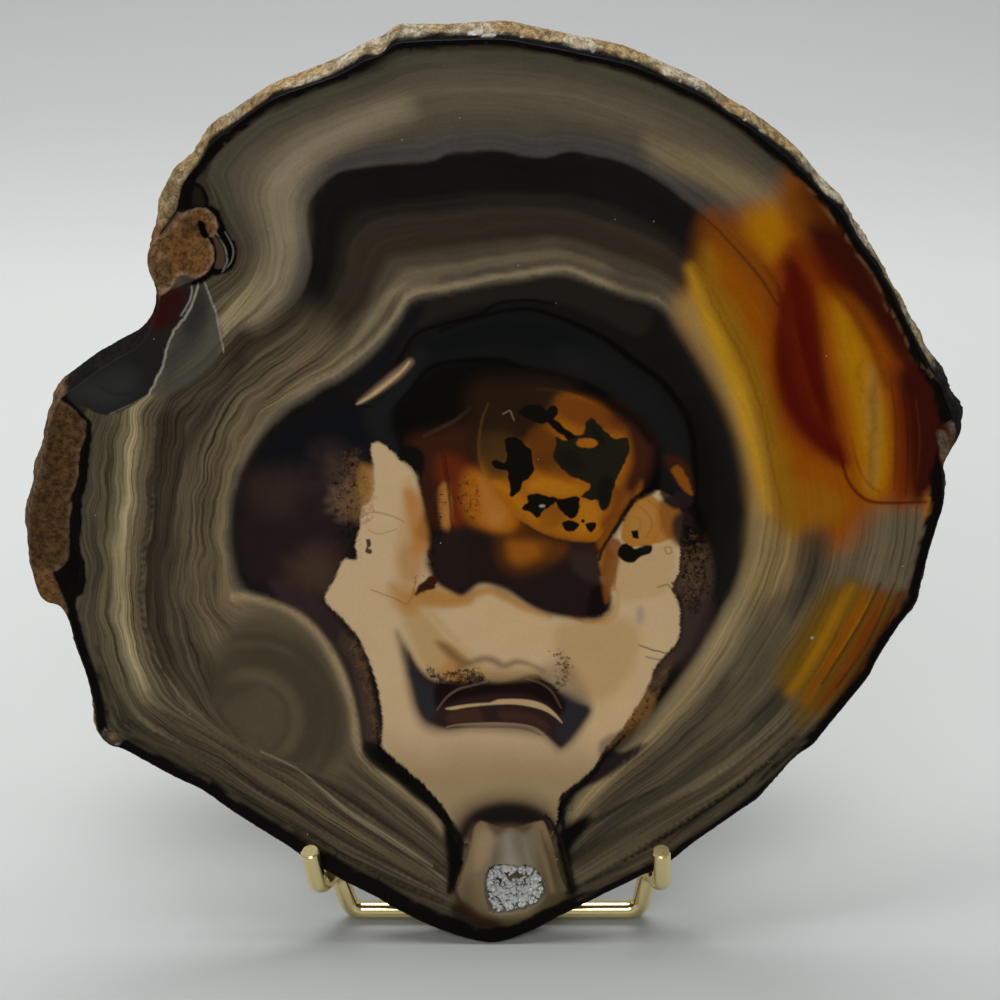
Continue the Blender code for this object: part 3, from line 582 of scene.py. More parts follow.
DRAWING = [
    # Pale clouds in the outer bands
    area("cloud", 17, [
        (268, 172), (300, 140), (345, 118), (398, 100), (408, 116), (352, 140), (316, 166),
        (300, 200), (300, 240), (286, 292), (262, 322), (250, 318), (268, 280), (272, 240),
        (262, 205),
    ], 0.85),
    area("right_cloud", 14, [
        (650, 138), (710, 158), (755, 180), (792, 205), (786, 222), (745, 206), (700, 182),
        (655, 160),
    ], 0.8),
    area("stone_brown", 10, [(612, 262), (650, 266), (674, 284), (655, 298), (622, 290)], 0.8),
    area("low_dark", 13, [(186, 610), (200, 640), (214, 668), (240, 680), (250, 690), (225, 705),
                          (196, 690), (180, 655)], 0.8),
    area("low_dark", 12, [(300, 640), (330, 690), (338, 740), (320, 750), (312, 700),
                          (292, 660)], 0.8),
    stroke("eye_line", 6, (5.0, 10.0, 9.0, 8.0, 6.0, 4.0, 3.0), [
        (234, 596), (258, 598), (282, 604), (304, 618), (326, 642), (342, 674), (354, 708),
        (358, 744), (372, 766), (398, 786), (424, 808), (444, 832),
    ], 0.95),
    stroke("bright_line", 5, (1.0, 4.0, 5.0, 4.0), [
        (236, 486), (246, 452), (262, 424), (282, 402), (302, 390), (326, 377),
    ], 0.75),
    area("right_bright", 9, [
        (752, 500), (766, 508), (772, 530), (762, 566), (744, 600), (722, 640), (700, 676),
        (676, 708), (648, 742), (612, 778), (580, 812), (570, 812), (600, 775), (640, 738),
        (668, 700), (692, 664), (716, 625), (738, 590), (752, 550),
    ], 0.7),
    area("umber", 8, [(640, 770), (672, 742), (700, 712), (722, 680), (732, 684), (712, 716),
                      (682, 750), (650, 782), (610, 812), (600, 806)], 0.6),
    area("right_mid", 10, [(770, 570), (790, 580), (780, 630), (750, 680), (730, 690), (750, 640)],
         0.5),
    stroke("low_dark", 3, (2.0, 5.0, 5.0, 3.0), [(575, 842), (620, 812), (664, 782), (704, 748),
                                                 (738, 712)], 0.6),
    stroke("low_pale", 2.5, (2.0, 4.0, 4.0, 3.0), [(580, 858), (630, 826), (676, 794), (716, 762),
                                                   (752, 724)], 0.6),
    stroke("low_dark", 2.5, (2.0, 4.0, 5.0, 3.0), [(582, 868), (636, 838), (686, 806), (730, 772),
                                                   (770, 736)], 0.7),
    stroke("low_pale", 2.5, (2.0, 4.0, 5.0, 3.0), [(592, 876), (646, 848), (696, 816), (744, 782),
                                                   (784, 744)], 0.7),
    stroke("umber", 6, (12.0, 15.0, 12.0, 9.0, 7.0, 5.0), [
        (240, 362), (202, 418), (184, 450), (172, 492), (166, 540), (163, 600),
    ], 0.7),
    stroke("bright_line", 5, (3.0, 9.0, 9.0, 4.0), [(350, 346), (370, 320), (384, 301), (404, 288),
                                                    (436, 281)], 0.6),
    # Stripes of the lower left
    stroke("umber", 2.5, (2.0, 5.0, 7.0, 6.0, 3.0), [
        (128, 722), (176, 742), (230, 770), (286, 804), (340, 838), (394, 868), (436, 886),
    ], 0.9),
    stroke("low_pale", 2.5, (2.0, 4.0, 4.0, 3.0), [
        (132, 712), (180, 730), (236, 762), (292, 796), (346, 830), (398, 860), (440, 880),
    ], 0.8),
    stroke("umber", 2.5, (1.5, 4.0, 5.0, 5.0, 3.0), [
        (150, 706), (196, 730), (250, 760), (304, 792), (352, 822), (402, 852), (444, 874),
    ], 0.8),
    stroke("low_pale", 3, (3.0, 5.0, 6.0, 4.0), [
        (146, 694), (200, 722), (250, 750), (300, 778), (344, 806), (384, 832), (432, 862),
    ], 0.85),
    stroke("umber", 3, (1.0, 5.0, 8.0, 7.0, 3.0), [
        (262, 760), (310, 776), (356, 802), (398, 832), (444, 866),
    ], 0.9),
    stroke("thread", 1.4, (1.0, 1.6, 2.4, 1.6), [
        (262, 752), (300, 771), (345, 808), (382, 832), (432, 866),
    ], 0.7),
    stroke("low_pale", 3, (2.0, 4.0, 4.0, 3.0), [
        (330, 770), (364, 790), (400, 818), (440, 850),
    ], 0.7),
    stroke("umber", 3, (2.0, 6.0, 6.0, 3.0), [
        (346, 762), (376, 786), (410, 812), (446, 846),
    ], 0.7),
    # Dark surround of the heart
    area("soot", 5, [
        (234, 560), (231, 525), (236, 490), (250, 455), (276, 425), (308, 402), (345, 380),
        (378, 352), (400, 322), (412, 303), (440, 296), (478, 288), (520, 282), (556, 276),
        (592, 285), (625, 297), (655, 306), (672, 325), (690, 352), (712, 385), (728, 420),
        (740, 455), (748, 490), (748, 525), (740, 562), (722, 602), (708, 628), (692, 655),
        (672, 682), (650, 705), (620, 735), (600, 758), (576, 785), (562, 800), (500, 700),
        (455, 836), (440, 815), (412, 792), (385, 770), (366, 752), (357, 712), (347, 675),
        (328, 640), (300, 612), (270, 600), (244, 588),
    ]),
    area("slate", 9, [
        (660, 305), (678, 322), (700, 352), (722, 388), (738, 425), (748, 465), (750, 500),
        (744, 545), (728, 590), (716, 600), (730, 550), (735, 500), (726, 450), (710, 410),
        (690, 370), (668, 335),
    ], 0.55),
    area("brown_black", 10, [
        (690, 400), (706, 430), (716, 470), (716, 520), (706, 560), (690, 540), (690, 490),
        (688, 440),
    ]),
    # The outer dark arc, with its thin black lines
    area("warm_soot", 5, [
        (412, 306), (440, 298), (478, 290), (520, 284), (556, 278), (592, 287), (625, 300),
        (652, 312), (640, 335), (600, 318), (560, 303), (520, 300), (480, 306), (440, 318),
        (415, 330), (400, 350), (380, 372), (362, 392), (352, 385), (380, 356), (402, 325),
    ], 0.85),
    area("blue_black", 8, [
        (352, 385), (380, 356), (402, 325), (412, 310), (425, 308), (408, 335), (390, 362),
        (365, 388),
    ]),
    area("olive_black", 6, [
        (422, 342), (450, 330), (480, 320), (520, 314), (560, 322), (600, 340), (640, 370),
        (668, 396), (686, 425), (692, 470), (692, 500), (676, 500), (668, 470), (655, 435),
        (630, 408), (590, 385), (550, 372), (500, 362), (460, 362), (430, 372), (412, 392),
        (398, 408), (392, 425), (398, 445), (404, 460), (384, 446), (368, 435), (362, 410),
        (380, 395), (405, 368),
    ]),
    area("deep_blue", 12, [
        (425, 345), (460, 330), (500, 320), (540, 322), (575, 335), (590, 350), (560, 352),
        (520, 345), (480, 345), (440, 352),
    ]),
    area("slate", 10, [
        (560, 345), (600, 358), (640, 388), (668, 415), (682, 450), (684, 480), (674, 470),
        (660, 435), (630, 402), (595, 380), (560, 368),
    ], 0.8),
    area("slate", 6, [
        (360, 407), (380, 398), (402, 376), (416, 352), (426, 356), (412, 385), (396, 408),
        (390, 428), (398, 448), (396, 454), (380, 443), (368, 434),
    ]),
    stroke("black", 1.6, (2.5, 3.0, 3.0, 2.0), [
        (398, 362), (412, 338), (424, 330), (452, 322), (480, 314), (500, 303), (530, 300),
        (552, 304),
    ], 0.9),
    stroke("black", 2.0, (1.5, 3.0, 5.0, 7.0, 7.0, 6.0, 4.0), [
        (440, 331), (470, 320), (500, 312), (530, 309), (560, 318), (600, 336), (640, 365),
        (665, 385), (688, 420), (695, 460), (696, 500), (690, 530),
    ], 0.95),
    stroke("black", 2.5, (2.0, 5.0, 6.0, 8.0, 9.0, 9.0, 6.0), [
        (392, 412), (412, 388), (432, 367), (470, 360), (500, 361), (525, 369), (560, 377),
        (590, 388), (620, 407), (644, 427), (654, 448), (657, 475), (656, 492),
    ], 0.9),
    stroke("brow", 3.5, (3.0, 7.0, 9.0, 6.0), [
        (360, 402), (374, 392), (390, 380), (402, 370), (410, 362),
    ], 0.75),
    stroke("rose_cream", 1.2, (2.0, 4.0, 3.0, 1.5), [
        (357, 404), (372, 395), (388, 383), (402, 371), (409, 362),
    ], 0.85),
    stroke("black", 0.8, (1.5, 1.0), [(358, 405), (371, 407)]),
    # The dark heart zone at the left
    area("blue_black", 12, [
        (275, 440), (310, 412), (350, 402), (364, 425), (370, 450), (345, 465), (310, 470),
        (275, 470), (255, 470),
    ]),
    area("plum_black", 12, [
        (245, 470), (300, 480), (350, 505), (350, 545), (330, 590), (280, 590), (246, 575),
        (238, 540), (240, 500),
    ]),
    area("bark", 18, [(254, 485), (285, 468), (304, 480), (290, 508), (262, 514)], 0.35, jag=3.0),
    area("bark", 14, [
        (290, 566), (310, 548), (330, 552), (340, 572), (330, 592), (306, 594), (290, 582),
    ], 0.75, jag=4.0),
    area("plum", 5, [
        (270, 580), (300, 590), (320, 600), (345, 628), (362, 660), (372, 690), (379, 720),
        (380, 745), (366, 750), (360, 715), (350, 678), (332, 645), (310, 618), (280, 600),
    ], 0.8),
    area("bark", 5, [(345, 632), (362, 655), (370, 690), (377, 740), (367, 742), (360, 700),
                     (352, 665), (340, 645)], 0.75),
    area("black", 3, [
        (364, 742), (380, 744), (392, 757), (410, 771), (428, 786), (446, 810), (456, 832),
        (448, 825), (434, 812), (414, 798), (394, 780), (374, 768), (362, 754),
    ], 0.85),
    area("plum", 12, [(316, 446), (345, 448), (362, 466), (366, 502), (346, 516), (324, 502),
                      (310, 475)], 0.75, jag=4.0),
    area("bark", 8, [(328, 462), (344, 458), (360, 470), (364, 500), (346, 498), (332, 482)], 0.8,
         jag=4.0),
    area("lump_edge", 6, [(328, 494), (344, 484), (360, 482), (364, 508), (350, 520), (334, 512)],
         0.9, jag=4.0),
    area("stain", 5, [(360, 466), (374, 470), (377, 492), (373, 510), (363, 512), (357, 490)],
         0.75),
    # The dark heart zone at the right
    area("bark", 5, [
        (682, 520), (700, 530), (712, 560), (712, 590), (700, 625), (690, 648), (668, 672),
        (652, 700), (632, 722), (604, 756), (618, 730), (640, 700), (656, 668), (680, 640),
        (682, 600), (674, 588), (682, 560),
    ], 0.9),
    area("plum", 8, [
        (690, 600), (710, 600), (716, 618), (702, 645), (684, 668), (676, 655), (684, 630),
    ], 0.7),
    area("black", 4, [(680, 505), (700, 508), (706, 530), (700, 550), (684, 548), (682, 525)], 0.9),
    area("plum_black", 3, [
        (563, 797), (578, 783), (594, 768), (606, 750), (622, 752), (645, 742), (636, 756),
        (616, 771), (600, 781), (582, 789), (568, 800),
    ]),
    area("stain", 3, [
        (648, 690), (656, 700), (648, 718), (630, 738), (608, 750), (618, 732), (636, 706),
    ], 0.35),
    # Black corners where the bands meet at the foot
    area("black", 4, [
        (444, 826), (456, 838), (464, 866), (458, 888), (450, 893), (448, 876), (446, 854),
    ]),
    area("black", 4, [
        (556, 838), (566, 826), (590, 815), (584, 832), (572, 850), (572, 872), (578, 890),
        (566, 902), (560, 880),
    ]),
    stroke("black", 2.0, (9.0, 5.0, 1.0), [(566, 838), (600, 818), (660, 786)], 0.7),
    stroke("black", 5.0, (14.0, 12.0, 7.0, 2.0), [(572, 862), (604, 842), (640, 822), (690, 794)],
           0.6),
]

HEART_SHADE = [
    area("low_cream", 34, [(350, 765), (640, 765), (640, 880), (350, 880)]),
    area("low_cream", 14, [
        (385, 735), (410, 760), (440, 790), (460, 830), (450, 760), (500, 750), (560, 770),
        (590, 760), (610, 735), (560, 820), (460, 850),
    ], 0.35),
    area("bark", 16, [
        (444, 850), (454, 820), (472, 803), (500, 796), (530, 798), (550, 808), (560, 826),
        (556, 850), (505, 840),
    ], 0.8),
]

HEART_DRAWING = [
    area("rose_cream", 12, [
        (600, 640), (650, 630), (640, 680), (620, 715), (590, 750), (590, 700), (575, 670),
    ], 0.7),
    area("rose_cream", 10, [(470, 600), (540, 615), (560, 640), (540, 655), (490, 650)], 0.7),
    area("cream", 8, [(378, 460), (396, 470), (404, 500), (402, 540), (390, 560), (372, 575),
                      (368, 540), (374, 500)]),
    area("tan_cream", 7, [(402, 605), (420, 600), (470, 655), (500, 675), (470, 680), (432, 676),
                          (410, 640)], 0.8),
    stroke("rose_cream", 3, (4.0, 6.0, 3.0), [(420, 606), (450, 640), (475, 662)], 0.6),
    area("tan_cream", 8, [(560, 625), (620, 618), (640, 640), (625, 680), (600, 700), (575, 690),
                          (558, 660)], 0.65),
    area("tan_cream", 5, [(612, 560), (640, 556), (668, 540), (676, 555), (668, 590), (640, 600),
                          (622, 600)], 0.5),
    stroke("stain", 2.5, (2.0, 5.0, 3.0), [(612, 575), (618, 600), (612, 618), (590, 622),
                                           (575, 617)], 0.55),
    area("stain", 9, [(406, 480), (420, 490), (430, 525), (426, 560), (416, 590), (402, 596),
                      (396, 560), (400, 520)], 0.45),
    area("stain", 8, [(390, 584), (408, 590), (422, 600), (412, 614), (394, 606)], 0.8),
    area("wave_grey", 10, [(536, 672), (556, 662), (574, 670), (586, 694), (566, 690), (548, 684)],
         0.5),
    area("stain", 6, [(412, 590), (440, 588), (470, 598), (462, 604), (420, 603)], 0.8),
    area("disc_orange", 8, [(405, 545), (422, 550), (420, 575), (406, 580), (398, 562)], 0.35),
    stroke("ochre", 0.8, (1.4, 1.6, 1.2), [(360, 518), (372, 512), (392, 516), (404, 522)], 0.5),
    stroke("ochre", 0.8, (1.2, 1.4, 1.0), [(368, 530), (380, 534), (396, 529)], 0.4),
    stroke("ochre", 0.8, (1.3, 1.6, 1.3), [
        (372, 590), (388, 596), (398, 600), (406, 604), (412, 596), (416, 578),
    ], 0.6),
    stroke("ochre", 0.8, (1.4, 1.4), [(416, 596), (430, 590), (438, 586)], 0.7),
    # Warm, clouded stone above the middle
    area("inner_olive", 5, [
        (392, 414), (414, 388), (436, 369), (470, 363), (500, 364), (540, 376), (580, 388),
        (620, 410), (646, 432), (655, 455), (655, 490), (640, 497), (624, 520), (608, 545),
        (600, 560), (430, 545), (424, 505), (416, 474), (402, 458), (397, 440),
    ]),
    area("inner_red", 10, [
        (410, 438), (440, 430), (472, 424), (480, 440), (484, 500), (480, 530), (450, 535),
        (436, 520), (430, 490), (418, 465),
    ]),
    area("blood", 9, [(438, 456), (460, 458), (474, 472), (472, 505), (458, 530), (444, 525),
                      (438, 490)]),
    area("inner_orange", 9, [(466, 472), (486, 470), (500, 488), (520, 520), (508, 537), (482, 530),
                             (466, 515), (462, 490)]),
    area("ember", 3.5, [(440, 488), (447, 483), (451, 505), (450, 531), (442, 527), (439, 505)],
         0.85),
    area("ember", 7, [(482, 480), (492, 492), (506, 512), (500, 526), (486, 522), (480, 500)], 0.6),
    area("ember", 5, [(404, 490), (418, 496), (426, 520), (428, 548), (414, 552), (408, 520)], 0.8),
    area("inner_red", 6, [(420, 470), (430, 475), (436, 505), (438, 528), (428, 520), (422, 495)],
         0.9),
    stroke("lip_black", 1.2, (1.5, 2.0, 2.0, 2.0), [(445, 455), (448, 480), (450, 505), (452, 533)],
           0.7, jag=0.4),
    stroke("lip_black", 1.0, (1.0, 1.6, 1.2), [(441, 450), (445, 475), (449, 500)], 0.5),
    area("inclusion", 2, [(402, 448), (414, 446), (424, 454), (424, 468), (420, 477), (415, 470),
                          (407, 462), (400, 460)], 0.95),
    stroke("bark", 2.0, (2.0, 3.0, 2.0), [(424, 436), (436, 430), (456, 420), (470, 408)], 0.6),
    # The amber disc
    area("disc_orange", 1.4, DISC),
    area("disc_top", 15, [
        (470, 390), (510, 378), (556, 380), (574, 388), (562, 402), (548, 425), (528, 446),
        (502, 452), (474, 458),
    ]),
    area("disc_olive", 9, [(482, 436), (508, 434), (516, 450), (508, 476), (490, 478), (480, 460)],
         0.9),
    area("disc_brown", 7, [(532, 430), (556, 434), (558, 462), (538, 468), (528, 452)], 0.9),
    area("disc_right", 7, [(560, 396), (588, 398), (612, 410), (622, 430), (604, 432), (578, 427),
                           (558, 414)]),
    area("disc_edge", 8, [
        (610, 400), (632, 414), (652, 440), (650, 468), (636, 494), (622, 490), (630, 462),
        (626, 434), (612, 418),
    ]),
    area("disc_right", 6, [(612, 488), (628, 492), (622, 510), (606, 530), (600, 524), (612, 505)]),
    area("disc_yellow", 6, [(492, 482), (510, 497), (525, 513), (555, 528), (596, 532),
                            (590, 518), (560, 516), (530, 506), (512, 488)], 0.95),
    area("disc_yellow", 4, [(529, 484), (542, 478), (556, 479), (570, 484), (587, 489),
                            (576, 495), (555, 495), (540, 492), (528, 490)], 0.9),
    area("disc_yellow", 5, [(578, 500), (594, 502), (600, 515), (590, 530), (578, 525)], 0.8),
    area("disc_brown", 7, [(520, 524), (555, 540), (596, 545), (606, 534), (600, 552), (560, 556),
                           (526, 545)], 0.8),
    stroke("ember", 1.6, (1.2, 2.0, 2.6, 2.2, 1.4), [
        (488, 404), (482, 420), (479, 440), (480, 462), (489, 483), (504, 504), (523, 521),
        (545, 534),
    ], 0.16),
    stroke("rose_cream", 0.8, (1.2, 1.0), [(503, 414), (510, 410), (514, 420)], 0.3, sharp=True),
    area("inner_orange", 3, [(596, 543), (606, 530), (620, 512), (634, 492), (642, 480),
                             (640, 498), (626, 515), (612, 535), (604, 552)], 0.5),
    stroke("inner_olive", 5, (2.0, 8.0, 10.0, 8.0), [(575, 386), (602, 398), (632, 418),
                                                     (650, 440)], 0.9),
    area("disc_brown", 7, [(536, 456), (560, 462), (574, 478), (556, 476), (538, 470)], 0.7),
    area("disc_brown", 6, [(538, 502), (556, 504), (566, 518), (556, 528), (540, 522)], 0.5),
    # Inclusions in the disc
    area("inclusion", 0.8, [(518, 412), (525, 406), (534, 404), (541, 406), (548, 411),
                            (556, 415), (552, 420), (542, 424), (532, 420), (524, 417)], jag=0.5),
    dot("inclusion", 0.8, (553, 411), (5.5, 6), jag=0.4),
    area("inclusion", 0.9, [(545, 417), (556, 420), (566, 429), (576, 435), (586, 434), (585, 440),
                            (572, 441), (560, 434), (550, 425)], jag=0.5),
    area("inclusion_olive", 0.9, [
        (586, 423), (592, 418), (600, 426), (606, 432), (613, 438), (622, 438), (629, 440),
        (629, 452), (624, 464), (617, 478), (613, 490), (611, 500), (606, 510), (600, 508),
        (597, 500), (590, 500), (581, 497), (588, 490), (590, 484), (580, 480), (568, 474),
        (557, 464), (553, 454), (556, 447), (556, 437), (563, 440), (575, 438), (584, 432),
    ], jag=0.7),
    area("inclusion", 4, [(590, 425), (602, 432), (606, 445), (596, 440)], 0.6),
    area("inclusion", 4, [(600, 480), (612, 480), (608, 508), (598, 500)], 0.7),
    area("inclusion", 4, [(557, 452), (575, 450), (585, 470), (565, 468)], 0.5),
    dot("disc_orange", 1.0, (587, 443), (11, 5), jag=0.4),
    area("inclusion", 0.8, [
        (505, 441), (512, 437), (521, 440), (526, 446), (531, 450), (533, 463), (534, 470),
        (529, 478), (523, 482), (521, 490), (515, 495), (510, 496), (510, 488), (508, 476),
        (506, 470), (500, 470), (494, 467), (491, 461), (497, 460), (504, 463), (507, 458),
    ], jag=0.6),
    area("inclusion", 0.8, [(527, 496), (536, 494), (546, 496), (557, 499), (552, 505),
                            (543, 510), (538, 518), (530, 512), (522, 508), (528, 502)], jag=0.6),
    area("inclusion", 0.8, [(556, 500), (565, 498), (579, 497), (579, 510), (574, 518),
                            (566, 516), (559, 508)], jag=0.6),
    area("inclusion", 0.8, [(562, 523), (570, 520), (579, 524), (574, 531), (566, 531)], jag=0.5),
    area("inclusion", 0.8, [(586, 524), (595, 522), (596, 528), (590, 532)], jag=0.4),
    dot("inclusion", 0.8, (583, 521), 2.0),
    dot("chip_and_glint", 0.8, (542, 506), (3, 1.5), 0.7),
    # The dark smear under the disc
    stroke("stain", 4, (4.0, 9.0, 9.0, 7.0, 4.0), [
        (458, 600), (474, 594), (490, 590), (508, 598), (526, 608), (550, 616),
    ], 0.85),
    area("smear", 7, [
        (430, 546), (440, 532), (458, 528), (478, 530), (500, 536), (530, 536), (562, 541),
        (596, 548), (602, 575), (606, 590), (611, 600), (609, 611), (598, 615), (580, 617),
        (560, 615), (545, 611), (530, 604), (515, 595), (500, 588), (488, 582), (478, 584),
        (468, 592), (460, 594), (450, 589), (440, 584), (432, 576), (427, 562),
    ]),
    area("smear", 3, [
        (432, 552), (450, 545), (480, 546), (500, 560), (520, 572), (545, 568), (566, 556),
        (592, 560), (602, 585), (609, 602), (602, 617), (584, 619), (563, 616), (543, 611),
        (525, 602), (507, 589), (490, 584), (478, 584), (470, 590), (461, 596), (450, 591),
        (440, 585), (433, 576), (430, 562),
    ]),
    area("smear_grey", 8, [(436, 540), (460, 534), (470, 556), (462, 585), (442, 578), (432, 562)],
         0.7),
    area("disc_brown", 12, [(500, 540), (520, 536), (550, 540), (566, 550), (545, 564), (520, 572),
                            (502, 562)]),
    area("inner_orange", 8, [(508, 542), (520, 540), (544, 544), (548, 550), (538, 558), (520, 564),
                             (510, 558)], 0.7),
    area("disc_brown", 6, [(540, 545), (565, 545), (560, 556), (546, 562)], 0.7),
    area("bark", 5, [(572, 552), (592, 552), (604, 566), (602, 582), (586, 580), (572, 568)], 0.35),
    area("ember", 2.0, [(598, 556), (606, 550), (612, 562), (608, 580), (602, 574)], 0.55),
    area("black", 2, [(592, 590), (604, 584), (611, 598), (609, 610), (598, 616), (586, 613)], 0.7,
         jag=1.0),
    area("stain", 5, [(425, 588), (450, 594), (462, 598), (474, 594), (470, 604), (440, 608),
                      (420, 602)], 0.9),
    area("inner_red", 1.2, [(414, 594), (424, 580), (436, 576), (436, 586), (428, 590)], jag=0.8),
    stroke("ochre", 1.5, (1.5, 3.0, 2.0), [(568, 617), (588, 622), (606, 617), (614, 606)], 0.5),
    # The pale lobe right of the disc
    area("flesh", 1.5, [
        (641, 496), (650, 494), (660, 502), (672, 506), (682, 512), (680, 530), (668, 540),
        (650, 545), (632, 547), (622, 540), (622, 527), (629, 513), (634, 503),
    ]),
    area("stain", 3, [(640, 505), (652, 503), (656, 515), (648, 530), (636, 535), (630, 524)], 0.6),
    stroke("ochre", 0.8, (1.2, 1.4, 1.2), [(637, 505), (646, 512), (652, 524), (646, 538)], 0.6),
    stroke("ochre", 0.8, (1.2, 1.4, 1.2), [(649, 501), (660, 512), (662, 526), (654, 541)], 0.5),
    stroke("ochre", 0.8, (1.0, 1.4, 1.0), [(632, 516), (640, 520), (640, 532)], 0.5),
    stroke("ochre", 0.9, (1.4, 1.6), [(606, 560), (616, 572), (614, 590)], 0.5),
    area("lobe_orange", 2.5, [(605, 550), (613, 538), (622, 544), (619, 562), (614, 584),
                              (606, 604), (602, 580)], 0.9),
    area("lobe_orange", 4, [(660, 500), (680, 506), (684, 524), (676, 542), (662, 530)], 0.7),
    stroke("black", 2.0, (6.0, 9.0, 4.0), [(658, 474), (653, 488), (642, 497)], 0.9),
    stroke("black", 1.2, (4.0, 6.0, 4.5, 4.0, 3.0, 3.0), [
        (652, 489), (641, 494), (630, 505), (620, 520), (612, 534), (603, 548), (599, 560),
    ], 0.95, jag=0.6),
    area("inclusion", 0.9, [
        (619, 548), (627, 543), (635, 549), (644, 546), (652, 545), (651, 552), (641, 557),
        (635, 562), (627, 562), (619, 557),
    ], jag=0.6),
    area("inclusion", 0.8, [(631, 531), (638, 530), (639, 539), (633, 538)], sharp=True),
    area("slate", 1.5, [(640, 546), (652, 545), (651, 551), (642, 555)], 0.5),
    area("plum_black", 4, [(675, 516), (692, 510), (694, 545), (678, 546), (672, 530)], 0.9),
    area("black", 2.0, [(660, 491), (672, 493), (682, 504), (676, 509), (665, 502)], 0.9, jag=0.6),
    area("black", 3.5, [(684, 530), (694, 528), (698, 548), (688, 556)], 0.8),
    area("plum_black", 2.5, [(680, 492), (684, 492), (692, 500), (684, 512), (672, 506),
                             (662, 500)], 0.9, jag=0.8),
    area("inner_red", 3, [(664, 456), (680, 458), (690, 470), (694, 494), (684, 490), (672, 476)]),
    area("disc_orange", 1.5, [(672, 470), (680, 466), (690, 484), (692, 495), (682, 488)], 0.6,
         jag=0.6),
    # The lens-shaped dark marking with its pale slit
    area("smear_grey", 6, [(396, 632), (404, 642), (414, 660), (428, 680), (440, 692), (430, 704),
                           (416, 684), (404, 660)], 0.7),
    area("lip_plum", 8, [(408, 672), (436, 680), (470, 676), (530, 672), (556, 684), (590, 702),
                         (582, 728), (561, 750), (540, 736), (480, 730), (436, 732), (416, 716)],
         0.7),
    area("lip", 3.0, LIPS),
    area("lip_blue", 7, [(404, 648), (412, 664), (424, 682), (436, 688), (438, 704), (430, 722),
                         (418, 708), (411, 684), (404, 664)], 0.85),
    area("lip_blue", 7, [(562, 694), (580, 704), (590, 710), (582, 726), (566, 742), (556, 734),
                         (560, 714)], 0.7),
    area("lip_black", 3.5, [(436, 685), (462, 681), (486, 681), (500, 684), (520, 678), (532, 675),
                            (552, 688), (566, 704), (560, 714), (546, 702), (520, 694),
                            (480, 695), (450, 703), (436, 706)], 0.95),
    area("lip_red", 4, [(448, 714), (466, 709), (480, 710), (482, 722), (460, 724), (448, 722)],
         0.8),
    area("lip_red", 4, [(500, 711), (524, 712), (544, 720), (548, 730), (526, 723), (502, 720)],
         0.7),
    area("rose_cream", 0.9, [
        (445, 708.5), (456, 706), (470, 704), (484, 703), (491, 702.5), (498, 699.5), (516, 699),
        (532, 700.5), (544, 704.5), (553, 711), (560, 719), (563, 724), (556, 718), (547, 712),
        (534, 707.5), (516, 704.5), (498, 704.5), (484, 705.5), (466, 707.5), (452, 710),
    ], 0.8),
    stroke("slit_arc", 1.2, (0.8, 1.6, 1.6, 1.2), [(437, 710), (447, 697), (459, 689), (474, 685),
                                                   (486, 682)], 0.65),
    stroke("slit_arc", 1.2, (0.8, 1.4, 1.2, 0.8), [(526, 679), (540, 683), (552, 692), (561, 708)],
           0.5),
    stroke("slit_line", 1.0, (0.8, 1.6, 1.8, 1.5, 0.8), [(447, 727), (462, 724.5), (500, 723.5),
                                                         (528, 726), (541, 732), (550, 741)], 0.8),
    stroke("bark", 1.0, (0.8, 1.6, 1.2), [(456, 728), (490, 727), (522, 728.5), (540, 735)], 0.6),
    stroke("black", 1.2, (2.0, 4.5, 5.0, 3.0), [(452, 677), (464, 677), (473, 675), (482, 680)],
           0.85, jag=1.2),
    stroke("black", 1.0, (1.0, 2.5, 3.0, 2.0), [(524, 677), (535, 675), (548, 684), (558, 690)],
           0.8, jag=1.2),
    area("stain", 5, [(438, 642), (452, 646), (466, 657), (472, 668), (466, 680), (450, 680),
                      (438, 674), (446, 658)], 0.8),
    area("bark", 5, [(436, 642), (448, 645), (460, 656), (470, 664), (462, 666), (448, 656)], 0.6),
    stroke("wave_grey", 4, (3.0, 6.0, 7.0, 6.0, 4.0, 2.0), [
        (458, 668), (468, 664), (483, 659), (494, 661), (504, 666), (516, 662), (528, 664),
        (544, 671),
    ], 0.75),
    area("tan_cream", 6, [(462, 668), (480, 664), (504, 669), (530, 668), (540, 676), (500, 680),
                          (466, 678)], 0.5),
    stroke("lip_black", 0.8, (1.2, 1.5, 1.0), [(640, 645), (652, 650), (668, 653)], 0.7, jag=0.4),
    stroke("bark", 0.8, (1.2, 1.4), [(647, 657), (664, 661)], 0.6, jag=0.4),
    stroke("bark", 0.8, (1.3, 1.4), [(658, 587), (668, 584), (674, 593)], 0.6, sharp=True),
    stroke("bark", 0.8, (1.2, 1.2), [(665, 548), (670, 547), (672, 552), (667, 554)], 0.5,
           closed=True),
    dot("rind_grey", 5, (640, 615), (4, 9), 0.45),
    dot("lip_black", 0.8, (658, 665), 1.6, 0.8),
    area("inclusion", 0.8, [(366, 540), (370, 539), (371, 546), (368, 548), (372, 550), (371, 554),
                            (365, 552), (367, 546)], 0.9),
    # The soft dark crescent over the quartz
    area("smear_grey", 6, [
        (458, 842), (460, 828), (469, 815), (485, 806), (505, 802), (526, 804), (544, 812),
        (554, 824), (552, 834), (505, 829), (478, 824), (468, 838),
    ]),
    area("soot", 5, [(474, 818), (490, 810), (515, 808), (538, 814), (546, 822), (520, 827),
                     (490, 825)], 0.9),
    # Black seams along the lower edges of the heart
    stroke("black", 1.4, (2.0, 4.5, 5.0, 3.5, 3.0, 4.0), [
        (376, 728), (381, 748), (398, 772), (422, 796), (441, 818), (454, 840), (463, 866),
    ], jag=0.5),
    stroke("black", 1.6, (3.0, 5.0, 5.0, 4.0, 4.0), [
